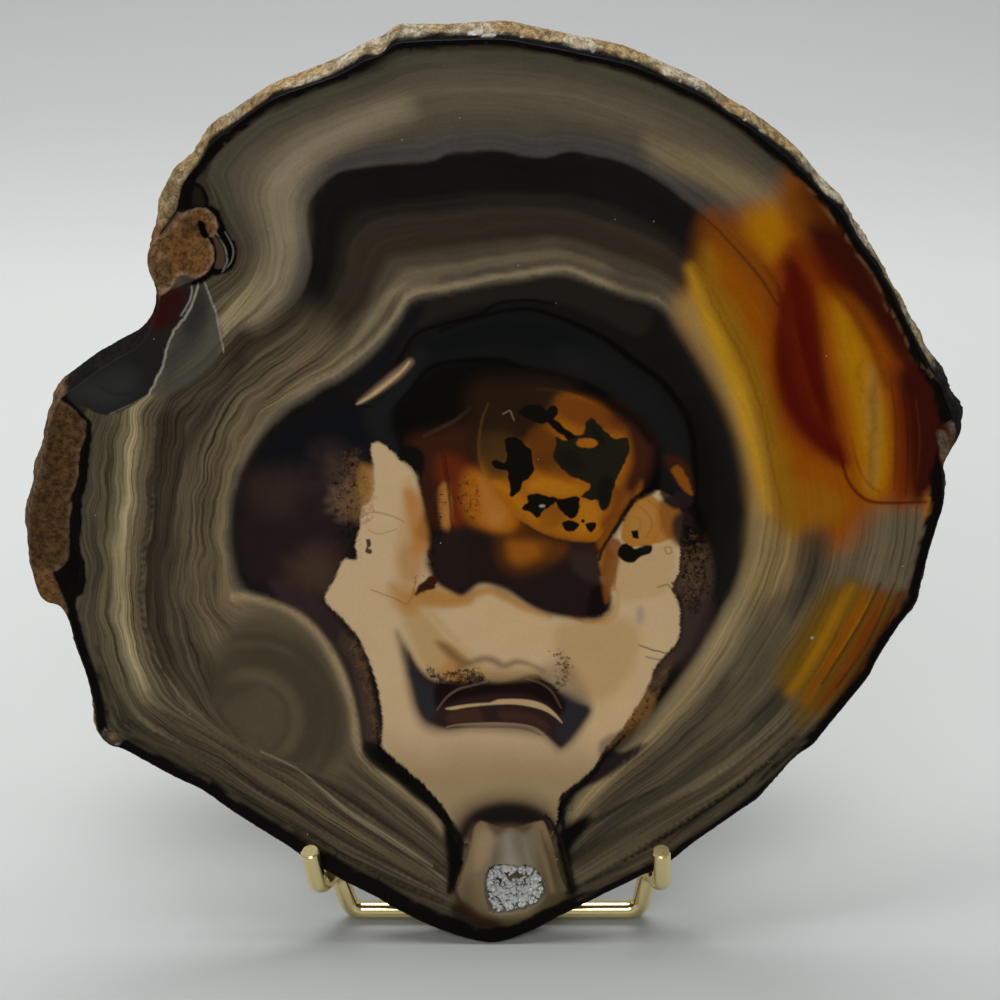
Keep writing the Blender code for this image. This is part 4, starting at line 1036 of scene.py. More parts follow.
        (624, 736), (606, 756), (588, 780), (567, 798), (563, 820), (567, 850), (572, 880),
    ], 0.95, jag=0.4),
    area("black", 3, [(600, 742), (622, 730), (640, 722), (628, 742), (604, 762)], 0.5),
]

QUARTZ_DRAWING = [
    stroke("black", 2.5, (5.0, 8.0, 9.0, 8.0, 5.0), [
        (452, 824), (460, 842), (457, 860), (452, 876), (449, 892),
    ], 0.95),
    area("quartz_tan", 0.9, QUARTZ_ZONE),
    area("quartz_grey", 9, [(486, 832), (530, 832), (536, 860), (540, 880), (486, 880),
                            (482, 855)]),
    stroke("quartz_streak", 7, (6.0, 10.0, 24.0), [(507, 838), (509, 852), (512, 872)], 0.5),
    stroke("quartz_streak", 3, (1.0, 3.0, 5.0), [(524, 838), (527, 854), (532, 872)], 0.2),
    stroke("bark", 4, (1.0, 4.0, 3.0), [(494, 840), (495, 856), (492, 872)], 0.3),
    area("rose_cream", 7, [(480, 830), (496, 832), (488, 860), (476, 870), (474, 848)], 0.3),
    area("quartz_foot", 11, [(542, 846), (556, 852), (568, 884), (558, 912), (530, 926),
                             (538, 892)], 0.75),
    area("bark", 10, [(458, 890), (470, 880), (480, 905), (500, 922), (478, 922), (460, 908)], 0.5),
    stroke("quartz_tan", 3, (4.0, 6.0, 5.0), [(534, 832), (544, 858), (552, 890)], 0.9),
    stroke("bark", 1.5, (1.5, 2.0, 1.5), [(541, 832), (549, 858), (556, 884)], 0.5),
    stroke("inner_red", 1.5, (2.0, 2.5, 1.0), [(472, 836), (468, 852), (463, 870)], 0.5),
    area("inner_red", 4, [(488, 824), (506, 827), (496, 836)], 0.6),
    area("inner_red", 4, [(514, 827), (533, 824), (525, 833)], 0.6),
    area("quartz_foot", 6, [(458, 898), (480, 914), (505, 918), (535, 914), (556, 896), (566, 892),
                            (556, 910), (520, 930), (480, 926)]),
    area("lip_black", 5, [(452, 904), (465, 903), (480, 915), (500, 922), (500, 934), (470, 930),
                          (452, 916)], 0.8),
    area("druse", 2.5, POCKET_OUTLINE),
    area("trough", 3, [(494, 876), (512, 872), (534, 875), (532, 887), (498, 891)], 0.9),
    stroke("rust_line", 0.9, (1.8, 2.0, 1.8), [
        (458, 885), (463, 868), (467, 850), (471, 836), (475, 826), (481, 820), (492, 824),
        (505, 827), (520, 826), (536, 821), (544, 820), (549, 832), (554, 848), (558, 866),
    ], 0.55, jag=0.4),
    stroke("black", 1.5, (2.0, 4.0, 5.0), [(546, 815), (556, 830), (561, 850), (567, 874),
                                           (572, 892)], 0.95, jag=0.6),
    stroke("inner_red", 0.9, (1.0, 1.6, 1.4), [(550, 818), (560, 836), (566, 860), (571, 880)],
           0.35),
    stroke("inner_red", 1.8, (1.5, 3.0, 4.0, 2.0), [(461, 868), (456, 888), (460, 902),
                                                    (474, 917), (495, 926)], 0.8),
]

AMBER_DRAWING = [
    area("peach_grey", 10, [(756, 505), (800, 520), (800, 560), (780, 590), (752, 600),
                            (748, 560)], 0.55),
    area("grey_white", 7, [
        (860, 506), (930, 505), (930, 530), (918, 560), (905, 590), (880, 590), (850, 572),
        (836, 578), (822, 600), (815, 570), (830, 545), (850, 525),
    ]),
    area("right_dark", 10, [(808, 542), (820, 550), (816, 580), (795, 615), (785, 610), (796, 575)],
         0.8),
    area("amber", 23, AMBER_ZONE),
    area("lemon", 14, [
        (678, 302), (698, 290), (710, 314), (728, 350), (742, 385), (755, 415), (766, 452),
        (776, 500), (770, 530), (756, 520), (748, 470), (736, 424), (718, 384), (698, 348),
        (680, 320),
    ]),
    area("olive_gold", 14, [
        (702, 256), (716, 248), (742, 302), (766, 360), (784, 430), (796, 500), (800, 536),
        (780, 530), (764, 462), (748, 410), (728, 360), (704, 310),
    ]),
    stroke("fringe", 9, (5.0, 11.0, 15.0, 15.0, 13.0, 11.0, 4.0), [
        (690, 268), (702, 304), (720, 346), (736, 382), (748, 424), (758, 466), (768, 510),
    ]),
    area("honey", 15, [
        (722, 238), (738, 252), (762, 284), (778, 320), (782, 380), (796, 425), (822, 462),
        (838, 496), (826, 526), (806, 518), (796, 480), (782, 420), (762, 360), (738, 310),
        (720, 276),
    ]),
    area("amber_brown", 15, [(704, 214), (718, 210), (742, 234), (768, 266), (786, 300), (776, 312),
                             (750, 282), (724, 252), (706, 236)], 0.75),
    area("gold", 14, [(750, 212), (772, 204), (786, 218), (784, 244), (774, 260), (760, 248),
                      (748, 232)], 0.85),
    area("amber_brown", 13, [(788, 180), (806, 186), (838, 216), (838, 252), (812, 246),
                             (788, 216)], 0.95),
    area("amber_dark", 11, [(802, 186), (826, 200), (852, 234), (872, 268), (852, 266), (828, 240),
                            (808, 214)], 0.9),
    area("maroon", 11, [
        (808, 226), (846, 232), (872, 268), (900, 310), (930, 352), (946, 382), (932, 388),
        (906, 360), (880, 330), (852, 300), (824, 276),
    ]),
    area("rust", 10, [
        (800, 252), (820, 264), (846, 292), (868, 322), (886, 350), (898, 374), (884, 376),
        (862, 346), (838, 316), (814, 292), (798, 274),
    ], 0.7),
    area("red", 9, [(788, 244), (808, 240), (832, 262), (850, 290), (834, 292), (812, 276),
                    (792, 262)], 0.6),
    area("maroon", 9, [(876, 312), (904, 326), (932, 352), (942, 376), (918, 384), (896, 362)],
         0.9),
    # The red streak
    area("rust", 13, [
        (776, 262), (798, 252), (818, 276), (824, 310), (830, 360), (838, 400), (850, 440),
        (852, 466), (830, 462), (800, 446), (780, 416), (772, 370), (771, 320), (774, 286),
    ]),
    stroke("red", 10, (6.0, 13.0, 18.0, 16.0, 7.0), [
        (788, 262), (796, 300), (804, 345), (816, 388), (828, 420),
    ]),
    stroke("maroon", 9, (4.0, 10.0, 13.0, 9.0, 3.0), [
        (792, 268), (801, 302), (808, 340), (817, 376), (824, 404),
    ], 0.85),
    stroke("red", 10, (5.0, 12.0, 17.0, 14.0, 5.0), [
        (780, 330), (784, 372), (796, 408), (818, 436), (844, 460),
    ]),
    stroke("maroon", 8, (3.0, 7.0, 9.0, 6.0, 2.0), [
        (783, 345), (789, 382), (803, 414), (823, 441), (844, 461),
    ], 0.6),
    area("red", 6, [
        (794, 262), (811, 284), (819, 312), (822, 348), (824, 384), (832, 420), (843, 450),
        (842, 466), (816, 446), (793, 418), (779, 384), (777, 344), (779, 306), (787, 280),
    ], 0.8),
    stroke("rust", 3, (1.0, 3.0, 3.0, 1.0), [(790, 300), (797, 340), (806, 378), (820, 420)], 0.35),
    # The yellow streak beside it
    area("amber", 11, [
        (822, 290), (842, 296), (862, 322), (880, 352), (894, 390), (898, 430), (896, 482),
        (880, 500), (862, 494), (854, 466), (846, 420), (836, 370), (826, 330),
    ]),
    area("gold", 11, [
        (834, 304), (848, 316), (864, 346), (878, 380), (886, 415), (888, 455), (884, 484),
        (874, 496), (864, 488), (860, 462), (855, 430), (848, 392), (838, 350),
    ]),
    area("lemon", 5, [(868, 366), (876, 372), (880, 400), (880, 440), (876, 488), (868, 486),
                      (868, 450), (866, 410)], 0.35),
    area("rust", 9, [(888, 366), (902, 368), (908, 420), (908, 497), (894, 499), (896, 440),
                     (890, 400)], 0.85),
    area("maroon", 9, [
        (898, 374), (920, 362), (944, 392), (950, 440), (946, 470), (934, 494), (912, 500),
        (906, 450), (903, 410),
    ]),
    area("red", 6, [(896, 400), (908, 396), (912, 450), (910, 492), (898, 492), (894, 445)], 0.4),
    area("ochre", 5, [(926, 494), (940, 488), (936, 515), (924, 520)], 0.8),
    area("olive_gold", 10, [(772, 470), (800, 480), (836, 492), (844, 512), (820, 530), (790, 524),
                            (776, 505)], 0.55),
    stroke("amber_brown", 1.4, (1.0, 1.6, 1.8, 1.6, 1.0), [
        (706, 290), (722, 322), (742, 356), (756, 392), (766, 432), (774, 478), (782, 506),
    ], 0.45, jag=0.9),
    stroke("amber_brown", 1.0, (0.8, 1.2, 1.2, 0.8), [
        (712, 288), (730, 322), (750, 358), (764, 400), (774, 450),
    ], 0.35, jag=0.9),
    stroke("maroon", 1.4, (1.2, 2.0, 2.4, 3.0, 2.0), [(701, 214), (722, 234), (742, 256),
                                                      (762, 280), (778, 306)], 0.6),
    stroke("amber_brown", 1.2, (1.2, 2.0, 1.5), [(708, 212), (735, 238), (758, 262), (776, 290)],
           0.6),
    stroke("red", 3, (1.0, 4.0, 3.0), [(764, 266), (778, 286), (784, 320)], 0.6),
    stroke("amber_brown", 1.2, (1.0, 1.6, 1.2), [(752, 250), (768, 268), (784, 290)], 0.5),
    stroke("maroon", 6.0, (2.0, 6.0, 4.0), [(826, 282), (852, 312), (872, 346), (886, 386)], 0.5),
    stroke("rust", 5.0, (2.0, 5.0, 3.0), [(834, 290), (860, 322), (880, 358)], 0.5),
    stroke("amber_brown", 4.0, (2.0, 6.0, 4.0, 5.0, 6.0, 3.0), [
        (877, 376), (873, 398), (875, 420), (872, 446), (870, 468), (873, 490),
    ], 0.55, jag=1.2),
    stroke("amber_brown", 3.0, (1.0, 4.0, 2.0), [(862, 358), (858, 376), (862, 392)], 0.4, jag=0.8),
    stroke("red", 1.4, (2.0, 3.0, 3.5, 2.5, 2.0), [(838, 446), (843, 466), (850, 484), (862, 497),
                                                   (874, 502), (895, 503), (926, 502)], 0.9),
    stroke("rust", 1.4, (1.5, 2.5, 1.5), [(852, 440), (858, 465), (868, 484), (880, 492)], 0.5),
    stroke("maroon", 1.4, (1.0, 1.5, 1.0), [(891, 380), (896, 430), (894, 490)], 0.5),
    stroke("lip_black", 1.4, (1.0, 1.8, 1.0), [(903, 390), (908, 440), (906, 495)], 0.5),
    stroke("rust", 1.2, (1.0, 1.4, 1.0), [(916, 400), (920, 440), (917, 480)], 0.35),
    stroke("left_brown", 1.2, (1.0, 1.8, 1.0), [(898, 506), (896, 540), (888, 575)], 0.6),
    stroke("left_brown", 1.2, (1.0, 1.8, 1.0), [(907, 506), (904, 545), (896, 582)], 0.6),
    stroke("left_brown", 1.2, (1.2, 2.2, 1.0), [(917, 506), (914, 540), (904, 578)], 0.7),
    stroke("left_brown", 1.2, (1.0, 1.6, 1.0), [(876, 506), (874, 540), (862, 572)], 0.25),
    area("peach_grey", 15, [(752, 522), (776, 526), (798, 548), (790, 582), (754, 582)], 0.6),
    area("right_dark", 12, [(800, 538), (826, 530), (830, 552), (818, 590), (798, 596)], 0.8),
    area("foot_olive", 13, AMBER_FOOT),
    stroke("gold", 8, (5.0, 10.0, 11.0, 9.0, 5.0), [
        (852, 586), (838, 610), (822, 640), (806, 668), (790, 692),
    ], 0.75),
    stroke("honey", 6, (4.0, 9.0, 9.0, 7.0, 4.0), [
        (868, 586), (857, 612), (841, 642), (823, 672), (804, 700),
    ], 0.9),
    stroke("rust", 6, (4.0, 9.0, 9.0, 7.0, 4.0), [
        (884, 590), (873, 618), (857, 648), (839, 678), (818, 708),
    ], 0.9),
    stroke("maroon", 8, (6.0, 11.0, 13.0, 11.0, 5.0), [
        (902, 594), (889, 622), (873, 652), (853, 682), (830, 712),
    ], 0.95),
    area("grey_white", 6, [(845, 556), (880, 560), (905, 575), (900, 588), (874, 588), (852, 580),
                           (838, 586), (832, 576)], 0.7),
    stroke("rust", 1.3, (1.2, 1.6, 1.2), [(904, 588), (893, 616), (877, 646), (860, 674)], 0.7),
    stroke("maroon", 1.6, (1.2, 2.4, 1.6), [(880, 584), (866, 612), (846, 646), (822, 684)], 0.7),
    stroke("maroon", 1.6, (1.2, 2.0, 1.2), [(894, 584), (880, 618), (862, 652), (838, 686)], 0.7),
    stroke("gold", 1.6, (1.0, 2.0, 1.2), [(874, 590), (858, 622), (838, 654)], 0.5),
    dot("chip_and_glint", 0.8, (812, 638), (1.4, 1.1), 0.9),
]

EDGE_DRAWING = [
    area("wedge_grey", 2.5, WEDGE_SIDE, 0.9),
    area("wedge_soft", 8, [(196, 296), (206, 310), (204, 340), (184, 366), (164, 386), (166, 356),
                           (180, 330)], 0.5),
    area("wedge", 7, [(193, 286), (206, 290), (208, 312), (196, 332), (184, 334)], 0.6),
    area("left_olive", 9, [(226, 356), (205, 380), (180, 394), (150, 402), (160, 412), (200, 402),
                           (230, 376)], 0.6),
    area("wedge", 0.9, WEDGE),
    area("wedge_red", 7, [(152, 292), (178, 288), (186, 296), (176, 320), (156, 334), (140, 330),
                          (146, 310)], 0.9),
    area("wedge_soft", 12, [(70, 394), (92, 376), (116, 366), (136, 372), (134, 392), (112, 406),
                            (86, 402)], 0.9),
    area("wedge", 7, [(84, 366), (120, 342), (150, 326), (156, 336), (130, 352), (98, 374)], 0.8),
    stroke("wedge", 1.6, (1.5, 3.0, 2.0), [(98, 386), (116, 394), (140, 392)], 0.6),
    stroke("vein", 0.9, (1.6, 2.2, 2.4, 1.8, 2.4, 1.6), [
        (199, 282), (194, 300), (186, 316), (176, 328), (168, 344), (164, 362), (156, 380),
        (149, 394),
    ], 0.95, jag=0.5),
    stroke("vein", 0.9, (1.2, 1.6, 1.2), [(192, 283), (190, 300), (182, 314)], 0.8, jag=0.4),
    stroke("vein", 0.9, (1.4, 1.8, 1.6, 1.0), [(204, 281), (209, 294), (216, 314), (221, 338),
                                               (224, 352)], 0.7, jag=0.4),
    stroke("vein", 1.0, (1.0, 1.4), [(149, 394), (132, 404), (110, 414)], 0.35),
    # Knob at the upper left, with its black surround
    area("black", 1.5, [
        (203, 205), (216, 208), (222, 218), (228, 232), (237, 246), (236, 262), (228, 272),
        (214, 276), (202, 284), (190, 284), (204, 270), (212, 250), (208, 238), (218, 228),
        (214, 216),
    ], jag=0.5),
    area("bark", 1.2, [(213, 236), (220, 242), (225, 256), (223, 267), (215, 268), (217, 254)],
         0.95),
    stroke("vein", 0.8, (1.0, 1.6, 1.0), [(217, 234), (225, 248), (227, 262), (223, 269)], 0.55),
    stroke("vein", 0.8, (0.8, 1.4, 0.8), [(225, 232), (233, 248), (231, 262), (222, 272)], 0.45),
    area("rind_black", 1.2, [(183, 186), (196, 182), (204, 188), (209, 200), (206, 210),
                             (192, 210), (184, 200)]),
    area("inclusion_olive", 1.5, [(188, 189), (198, 187), (203, 196), (204, 206), (192, 205),
                                  (188, 198)], 0.9),
    stroke("pale_taupe", 1.2, (1.0, 2.0, 1.0), [(206, 178), (213, 192), (218, 208)], 0.5),
    area("pink_rim", 1.0, KNOB, jag=0.4),
    area("knob", 1.6, [
        (160, 288), (153, 276), (148, 262), (149, 250), (160, 240), (172, 231), (181, 219),
        (191, 213), (203, 211), (211, 218), (214, 229), (209, 234), (205, 238), (210, 248),
        (210, 260), (205, 269), (197, 275), (187, 272), (177, 273), (170, 282),
    ]),
    area("pink_rim", 4, [(146, 250), (158, 245), (166, 262), (170, 280), (158, 290), (149, 276)],
         0.45),
    area("lump", 3, [(150, 262), (160, 262), (174, 270), (172, 282), (162, 289), (154, 278)], 0.6),
    area("lump", 3, [(182, 220), (192, 217), (198, 226), (192, 236), (182, 235)], 0.8),
    area("black", 1.0, [(198, 222), (203, 221), (206, 230), (209, 236), (205, 239), (199, 233)],
         jag=0.5),
    # Matrix on the left edge
    area("rind_black", 1.2, [
        (60, 392), (72, 402), (88, 418), (92, 430), (90, 452), (87, 480), (82, 500), (82, 520),
        (80, 545), (84, 560), (86, 575), (84, 592), (76, 600), (78, 622), (66, 616), (56, 590),
        (52, 566), (60, 520), (66, 460), (76, 425), (66, 408),
    ], jag=0.6),
    area("lump_edge", 1.2, LEFT_LUMP, 0.8, jag=0.6),
    area("lump", 1.5, [
        (54, 404), (64, 406), (76, 416), (83, 426), (81, 440), (76, 455), (74, 480), (67, 496),
        (69, 506), (66, 520), (66, 546), (63, 558), (52, 566), (40, 570), (32, 560), (30, 530),
        (34, 505), (42, 478), (46, 450), (50, 425),
    ]),
    area("lump_edge", 2, [
        (56, 400), (50, 421), (44, 455), (36, 484), (29, 515), (28, 539), (33, 575), (42, 599),
        (20, 599), (16, 530), (30, 440), (46, 400),
    ], 0.8),
    area("knob", 2, [(34, 566), (50, 572), (56, 584), (62, 600), (64, 612), (50, 604), (38, 588)],
         0.8),
    # Chips and crystals in the rind; the four pale flecks along the top edge are painted glints
    dot("chip_and_glint", 1.0, (505, 33), (10, 2), 0.7, jag=0.8),
    dot("chip_and_glint", 1.0, (534, 42), (9, 2), 0.8, jag=0.8),
    dot("chip_and_glint", 1.0, (553, 47), (5, 1.6), 0.7, jag=0.6),
    dot("chip_and_glint", 1.0, (395, 46), (8, 2), 0.7, jag=0.6),
    dot("chip_and_glint", 1.2, (104, 728), (4, 3), 0.7, jag=0.6),
    dot("chip_and_glint", 1.2, (121, 745), (6, 2), 0.6, jag=0.6),
    dot("pink_rim", 1.5, (112, 736), (5, 4), 0.7, jag=0.6),
    area("grey_white", 1.5, [(937, 432), (945, 432), (948, 442), (950, 455), (943, 464),
                             (940, 450)], 0.8, jag=0.6),
    area("rind_grey", 2.0, [(944, 388), (952, 404), (958, 424), (952, 432), (945, 410), (940, 395)],
         0.5, jag=0.8),
]

# Colours of the rough rim where it is not plain skin
RIM_DRAWING = [
    area("soot", 4, [(150, 285), (175, 300), (175, 340), (75, 420), (50, 405), (56, 366),
                     (110, 325), (140, 300)]),
    area("wedge_red", 5, [(140, 296), (172, 296), (160, 330), (136, 342), (124, 330)], 0.8),
    area("knob", 3, [(120, 236), (160, 228), (190, 236), (200, 260), (165, 298), (140, 292),
                     (120, 262)]),
    area("lump_edge", 5, [(10, 380), (60, 385), (80, 500), (70, 620), (20, 620), (0, 500)], 0.9),
    area("slate", 8, [(930, 372), (980, 372), (990, 470), (930, 480), (925, 420)], 0.95),
]

# Width of the black rind line at clock angles round the stone, in pixels
RIND_WIDTHS = [
    (0, 8), (30, 8), (60, 9), (72, 9), (84, 12), (92, 13), (110, 9), (130, 9), (150, 9),
    (165, 10), (178, 14), (190, 16), (200, 18), (215, 13), (235, 11), (250, 10), (270, 6),
    (280, 3), (284, 0), (297, 0), (303, 8), (320, 9), (340, 9), (360, 8),
]

RIND_DRAWING = [
    stroke("black_line", 2.0, (1.0, 4.0, 6.0, 7.0, 5.0, 2.0), [
        (566, 893), (610, 869), (650, 846), (690, 820), (728, 794), (764, 766), (796, 736),
    ], 0.95),
    stroke("low_mid", 1.5, (1.5, 4.0, 5.0, 4.0, 2.0), [
        (578, 900), (620, 876), (662, 852), (700, 828), (740, 800), (774, 772), (806, 740),
    ], 0.7),
    stroke("rim_thread", 0.8, (0.5, 1.0, 1.3, 0.9, 1.2, 0.9, 1.1), [
        (808, 188), (828, 213), (847, 239), (851, 249), (866, 265), (880, 290), (883, 304),
        (894, 316), (903, 333), (914, 361), (926, 368), (940, 382),
    ], 0.5, jag=0.6),
    stroke("black_line", 1.6, (1.0, 3.0, 4.0, 4.0, 2.0), [
        (96, 640), (106, 690), (128, 732), (180, 760), (236, 792), (290, 824), (344, 856),
        (400, 884), (444, 902),
    ], 0.7),
]

# Where the material breaks the stone up: dark moss, golden moss, and raw rock
MOSS = [
    patch(18, [(335, 445), (360, 440), (372, 480), (368, 520), (362, 562), (335, 550),
               (320, 500)], 0.66),
    patch(7, [(345, 610), (362, 640), (376, 680), (383, 740), (368, 745), (356, 690),
              (340, 640)], 0.5),
    patch(7, [(678, 505), (700, 512), (716, 560), (712, 600), (690, 620), (678, 590),
              (680, 550)], 0.72),
    patch(6, [(655, 664), (668, 668), (655, 705), (630, 738), (604, 754), (615, 730),
              (640, 700)], 0.6),
    patch(8, [(544, 648), (568, 648), (576, 668), (564, 692), (550, 686), (552, 668)], 0.68),
    patch(6, [(426, 662), (446, 670), (478, 666), (488, 684), (445, 686), (426, 678)], 0.85),
    patch(5, [(424, 480), (446, 478), (450, 520), (440, 560), (426, 575), (424, 545),
              (432, 520)], 0.6),
    patch(4, [(458, 470), (480, 480), (480, 525), (464, 520), (456, 500)], 0.62),
    patch(9, [(400, 380), (450, 364), (500, 366), (490, 398), (450, 410), (410, 405)], 0.35),
    patch(4, [(555, 800), (575, 795), (572, 818), (558, 824)], 0.6),
    patch(3, [(672, 572), (690, 572), (690, 600), (672, 598)], 0.6),
    patch(4, [(410, 574), (438, 572), (438, 590), (414, 597)], 0.5),
    patch(10, [(566, 556), (600, 556), (606, 600), (570, 596)], 0.35),
]
GOLD_MOSS = [
    patch(14, [(346, 452), (366, 456), (374, 480), (374, 512), (362, 530), (338, 512),
               (340, 480)], 0.9),
    patch(5, [(352, 635), (368, 655), (374, 690), (382, 740), (372, 738), (362, 690),
              (350, 655)], 0.7),
    patch(5, [(684, 530), (702, 540), (706, 580), (694, 600), (680, 596)], 0.7),
    patch(5, [(660, 670), (672, 668), (650, 712), (620, 742), (602, 756), (626, 724),
              (645, 694)], 0.8),
]
ROCK = [
    patch(2.0, KNOB),
    patch(2.0, LEFT_LUMP),
    patch(1.5, [(937, 430), (960, 424), (962, 456), (943, 466)], 0.8),
    dot(None, 2.0, (112, 737), (12, 8), 0.8),
]

# Zones where the vertices stand close together, beside the heart
CLOSE_ZONES = [
    [(352, 398), (372, 380), (410, 330), (440, 300), (560, 295), (650, 340), (712, 420),
     (722, 560), (712, 640), (660, 720), (600, 790), (585, 850), (580, 905), (540, 930),
     (480, 930), (440, 900), (440, 850), (380, 780), (352, 700), (320, 620), (300, 560),
     (310, 440)],
    [(140, 300), (140, 240), (180, 180), (215, 180), (245, 240), (240, 290), (165, 300)],
    [(20, 620), (20, 400), (60, 390), (95, 420), (90, 560), (90, 620)],
    [(930, 420), (965, 420), (965, 470), (930, 470)],
]
# Pits in the raw rock: place in the picture, then radius and depth in mm
ROCK_PITS = [
    ((201, 229), 1.2, 0.8),
    ((177, 262), 1.1, 0.4),
    ((44, 505), 1.3, 0.5),
    ((56, 446), 1.0, 0.4),
    ((49, 563), 1.4, 0.5),
    ((68, 416), 0.9, 0.3),
]


def to_slice(pixels):
    """Turn picture pixels into mm across and up the polished face."""
    pixels = np.asarray(pixels, float)
    across = (pixels[..., 0] - PICTURE_CENTRE) * MM_PER_PIXEL
    up = (PICTURE_CENTRE - pixels[..., 1]) * MM_PER_PIXEL
    slope = math.sin(PICTURE_ANGLE)
    height = up * PICTURE_DISTANCE / (PICTURE_DISTANCE * math.cos(PICTURE_ANGLE) + up * slope)
    return np.stack([across * (1.0 - height * slope / PICTURE_DISTANCE), height], -1)


def to_picture(spots):
    """Turn mm across and up the polished face back into picture pixels."""
    slope = math.sin(PICTURE_ANGLE)
    height = spots[..., 1]
    up = height * PICTURE_DISTANCE * math.cos(PICTURE_ANGLE) / (PICTURE_DISTANCE - height * slope)
    across = spots[..., 0] / (1.0 - height * slope / PICTURE_DISTANCE)
    return np.stack([
        PICTURE_CENTRE + across / MM_PER_PIXEL,
        PICTURE_CENTRE - up / MM_PER_PIXEL,
    ], -1)


def smooth_curve(points, closed, step=3.0):
    """Run a Catmull-Rom curve through points, with a point about every step."""
    points = np.asarray(points, float)
    if closed:
        around = np.vstack([points[-1], points, points[:2]])
    else:
        around = np.vstack([points[0], points, points[-1]])
    result = []
    for before, start, end, after in zip(around, around[1:], around[2:], around[3:]):
        count = max(2, int(round(np.linalg.norm(end - start) / step)))
        t = (np.arange(count) / count)[:, None]
        result.append(0.5 * (
            2.0 * start + (end - before) * t
            + (2.0 * before - 5.0 * start + 4.0 * end - after) * t ** 2
            + (3.0 * start - before - 3.0 * end + after) * t ** 3
        ))
    if not closed:
        result.append(points[-1:])
    return np.vstack(result)


def even_loop(points, count):
    """Give count evenly spaced points of a smooth closed curve."""
    dense = smooth_curve(points, True, 0.6)
    closed = np.vstack([dense, dense[:1]])
    length = np.r_[0.0, np.cumsum(np.linalg.norm(np.diff(closed, axis=0), axis=1))]
    places = np.arange(count) / count * length[-1]
    return np.stack([np.interp(places, length, closed[:, axis]) for axis in (0, 1)], -1)


def normals_of(curve, closed):
    """Give the unit normals of a curve."""
    if closed:
        along = np.roll(curve, -1, 0) - np.roll(curve, 1, 0)
    else:
        along = np.gradient(curve, axis=0)
    along /= np.maximum(np.linalg.norm(along, axis=1, keepdims=True), 1e-9)
    return np.stack([-along[:, 1], along[:, 0]], -1)


def ripple(places, seed, wave):
    """Give smooth made-up variation, about -1 to 1, with the given wave length."""
    rng = np.random.default_rng(seed)
    total = np.zeros(len(places))
    for _ in range(RIPPLE_WAVES):
        angle = rng.uniform(0.0, 2.0 * math.pi)
        turn = 2.0 * math.pi / (wave * rng.uniform(0.5, 1.8))
        phase = rng.uniform(0.0, 2.0 * math.pi)
        along = places[:, 0] * math.cos(angle) + places[:, 1] * math.sin(angle)
        total += np.sin(along * turn + phase)
    return total / (0.5 * RIPPLE_WAVES)


def add_ripples(base, places, parts):
    """Add ripples to a base, each given by its size, seed and wave length."""
    total = np.full(len(places), base)
    for size, seed, wave in parts:
        total += size * ripple(places, seed, wave)
    return total


def shape_curve(shape):
    """Give the dense curve of a shape, with its small irregularities."""
    if "curve" in shape:
        return shape["curve"]
    closed = shape["closed"]
    if shape["sharp"]:
        points = np.asarray(shape["points"], float)
        if closed:
            points = np.vstack([points, points[:1]])
        runs = []
        for start, end in zip(points, points[1:]):
            count = max(1, int(round(np.linalg.norm(end - start) / 3.0)))
            t = (np.arange(count) / count)[:, None]
            runs.append(start + (end - start) * t)
        if not closed:
            runs.append(points[-1:])
        curve = np.vstack(runs)
    else:
        curve = smooth_curve(shape["points"], closed, 2.0 if shape["jag"] else 3.5)
    if shape["jag"]:
        shift = ripple(curve, len(curve), JAG_WAVE)
        shift = shift + 0.6 * ripple(curve, len(curve) + 1, FINE_JAG_WAVE)
        curve = curve + normals_of(curve, closed) * (shape["jag"] * shift)[:, None]
    shape["curve"] = curve
    return curve


def measure(places, curve, closed):
    """Give each place's distance to a curve, whether it is inside, and the share along it."""
    ends = np.roll(curve, -1, 0) if closed else curve[1:]
    starts = curve if closed else curve[:-1]
    lengths = np.linalg.norm(ends - starts, axis=1)
    run = np.r_[0.0, np.cumsum(lengths)]
    best = np.full(len(places), 1e12)
    share = np.zeros(len(places))
    inside = np.zeros(len(places), bool)
    x = places[:, 0]
    y = places[:, 1]
    for index, (start, end) in enumerate(zip(starts, ends)):
        across = end[0] - start[0]
        down = end[1] - start[1]
        square = max(across * across + down * down, 1e-12)
        t = np.clip(((x - start[0]) * across + (y - start[1]) * down) / square, 0.0, 1.0)
        far = (x - start[0] - t * across) ** 2 + (y - start[1] - t * down) ** 2
        nearer = far < best
        best[nearer] = far[nearer]
        share[nearer] = run[index] + t[nearer] * lengths[index]
        if closed:
            crossing = (start[1] > y) != (end[1] > y)
            if crossing.any():
                inside ^= crossing & (x < start[0] + (y - start[1]) * across / (down or 1e-12))
    return np.sqrt(best), inside, share / run[-1]


def soft_step(value):
    """Ease from 0 to 1 over 0 to 1."""
    value = np.clip(value, 0.0, 1.0)
    return value * value * (3.0 - 2.0 * value)


def cover(places, shape):
    """Give the places that a shape reaches, and how much it covers each."""
    curve = shape_curve(shape)
    reach = shape["soft"] + (max(shape["widths"]) if shape["widths"] else 0.0)
    low = curve.min(0) - reach
    high = curve.max(0) + reach
    near = np.flatnonzero(((places > low) & (places < high)).all(1))
    if not len(near):
        return near, np.zeros(0)
    distance, inside, share = measure(places[near], curve, shape["closed"])
    if shape["widths"]:
        steps = np.linspace(0.0, 1.0, len(shape["widths"]))
        distance = distance - 0.5 * np.interp(share, steps, shape["widths"])
    else:
        distance = np.where(inside, -distance, distance)
    return near, shape["strength"] * soft_step(0.5 - 0.5 * distance / shape["soft"])


def linear_colour(name):
    """Give a palette colour as linear light."""
    value = np.array(PALETTE[name]) / 255.0
    return np.where(value <= 0.04045, value / 12.92, ((value + 0.055) / 1.055) ** 2.4)


def clock_angle(places):
    """Give the clock angle of each place round the stone's middle, in degrees."""
    across = places[:, 0] - CLOCK_MIDDLE[0]
    up = CLOCK_MIDDLE[1] - places[:, 1]
    return np.degrees(np.arctan2(across, up)) % 360.0


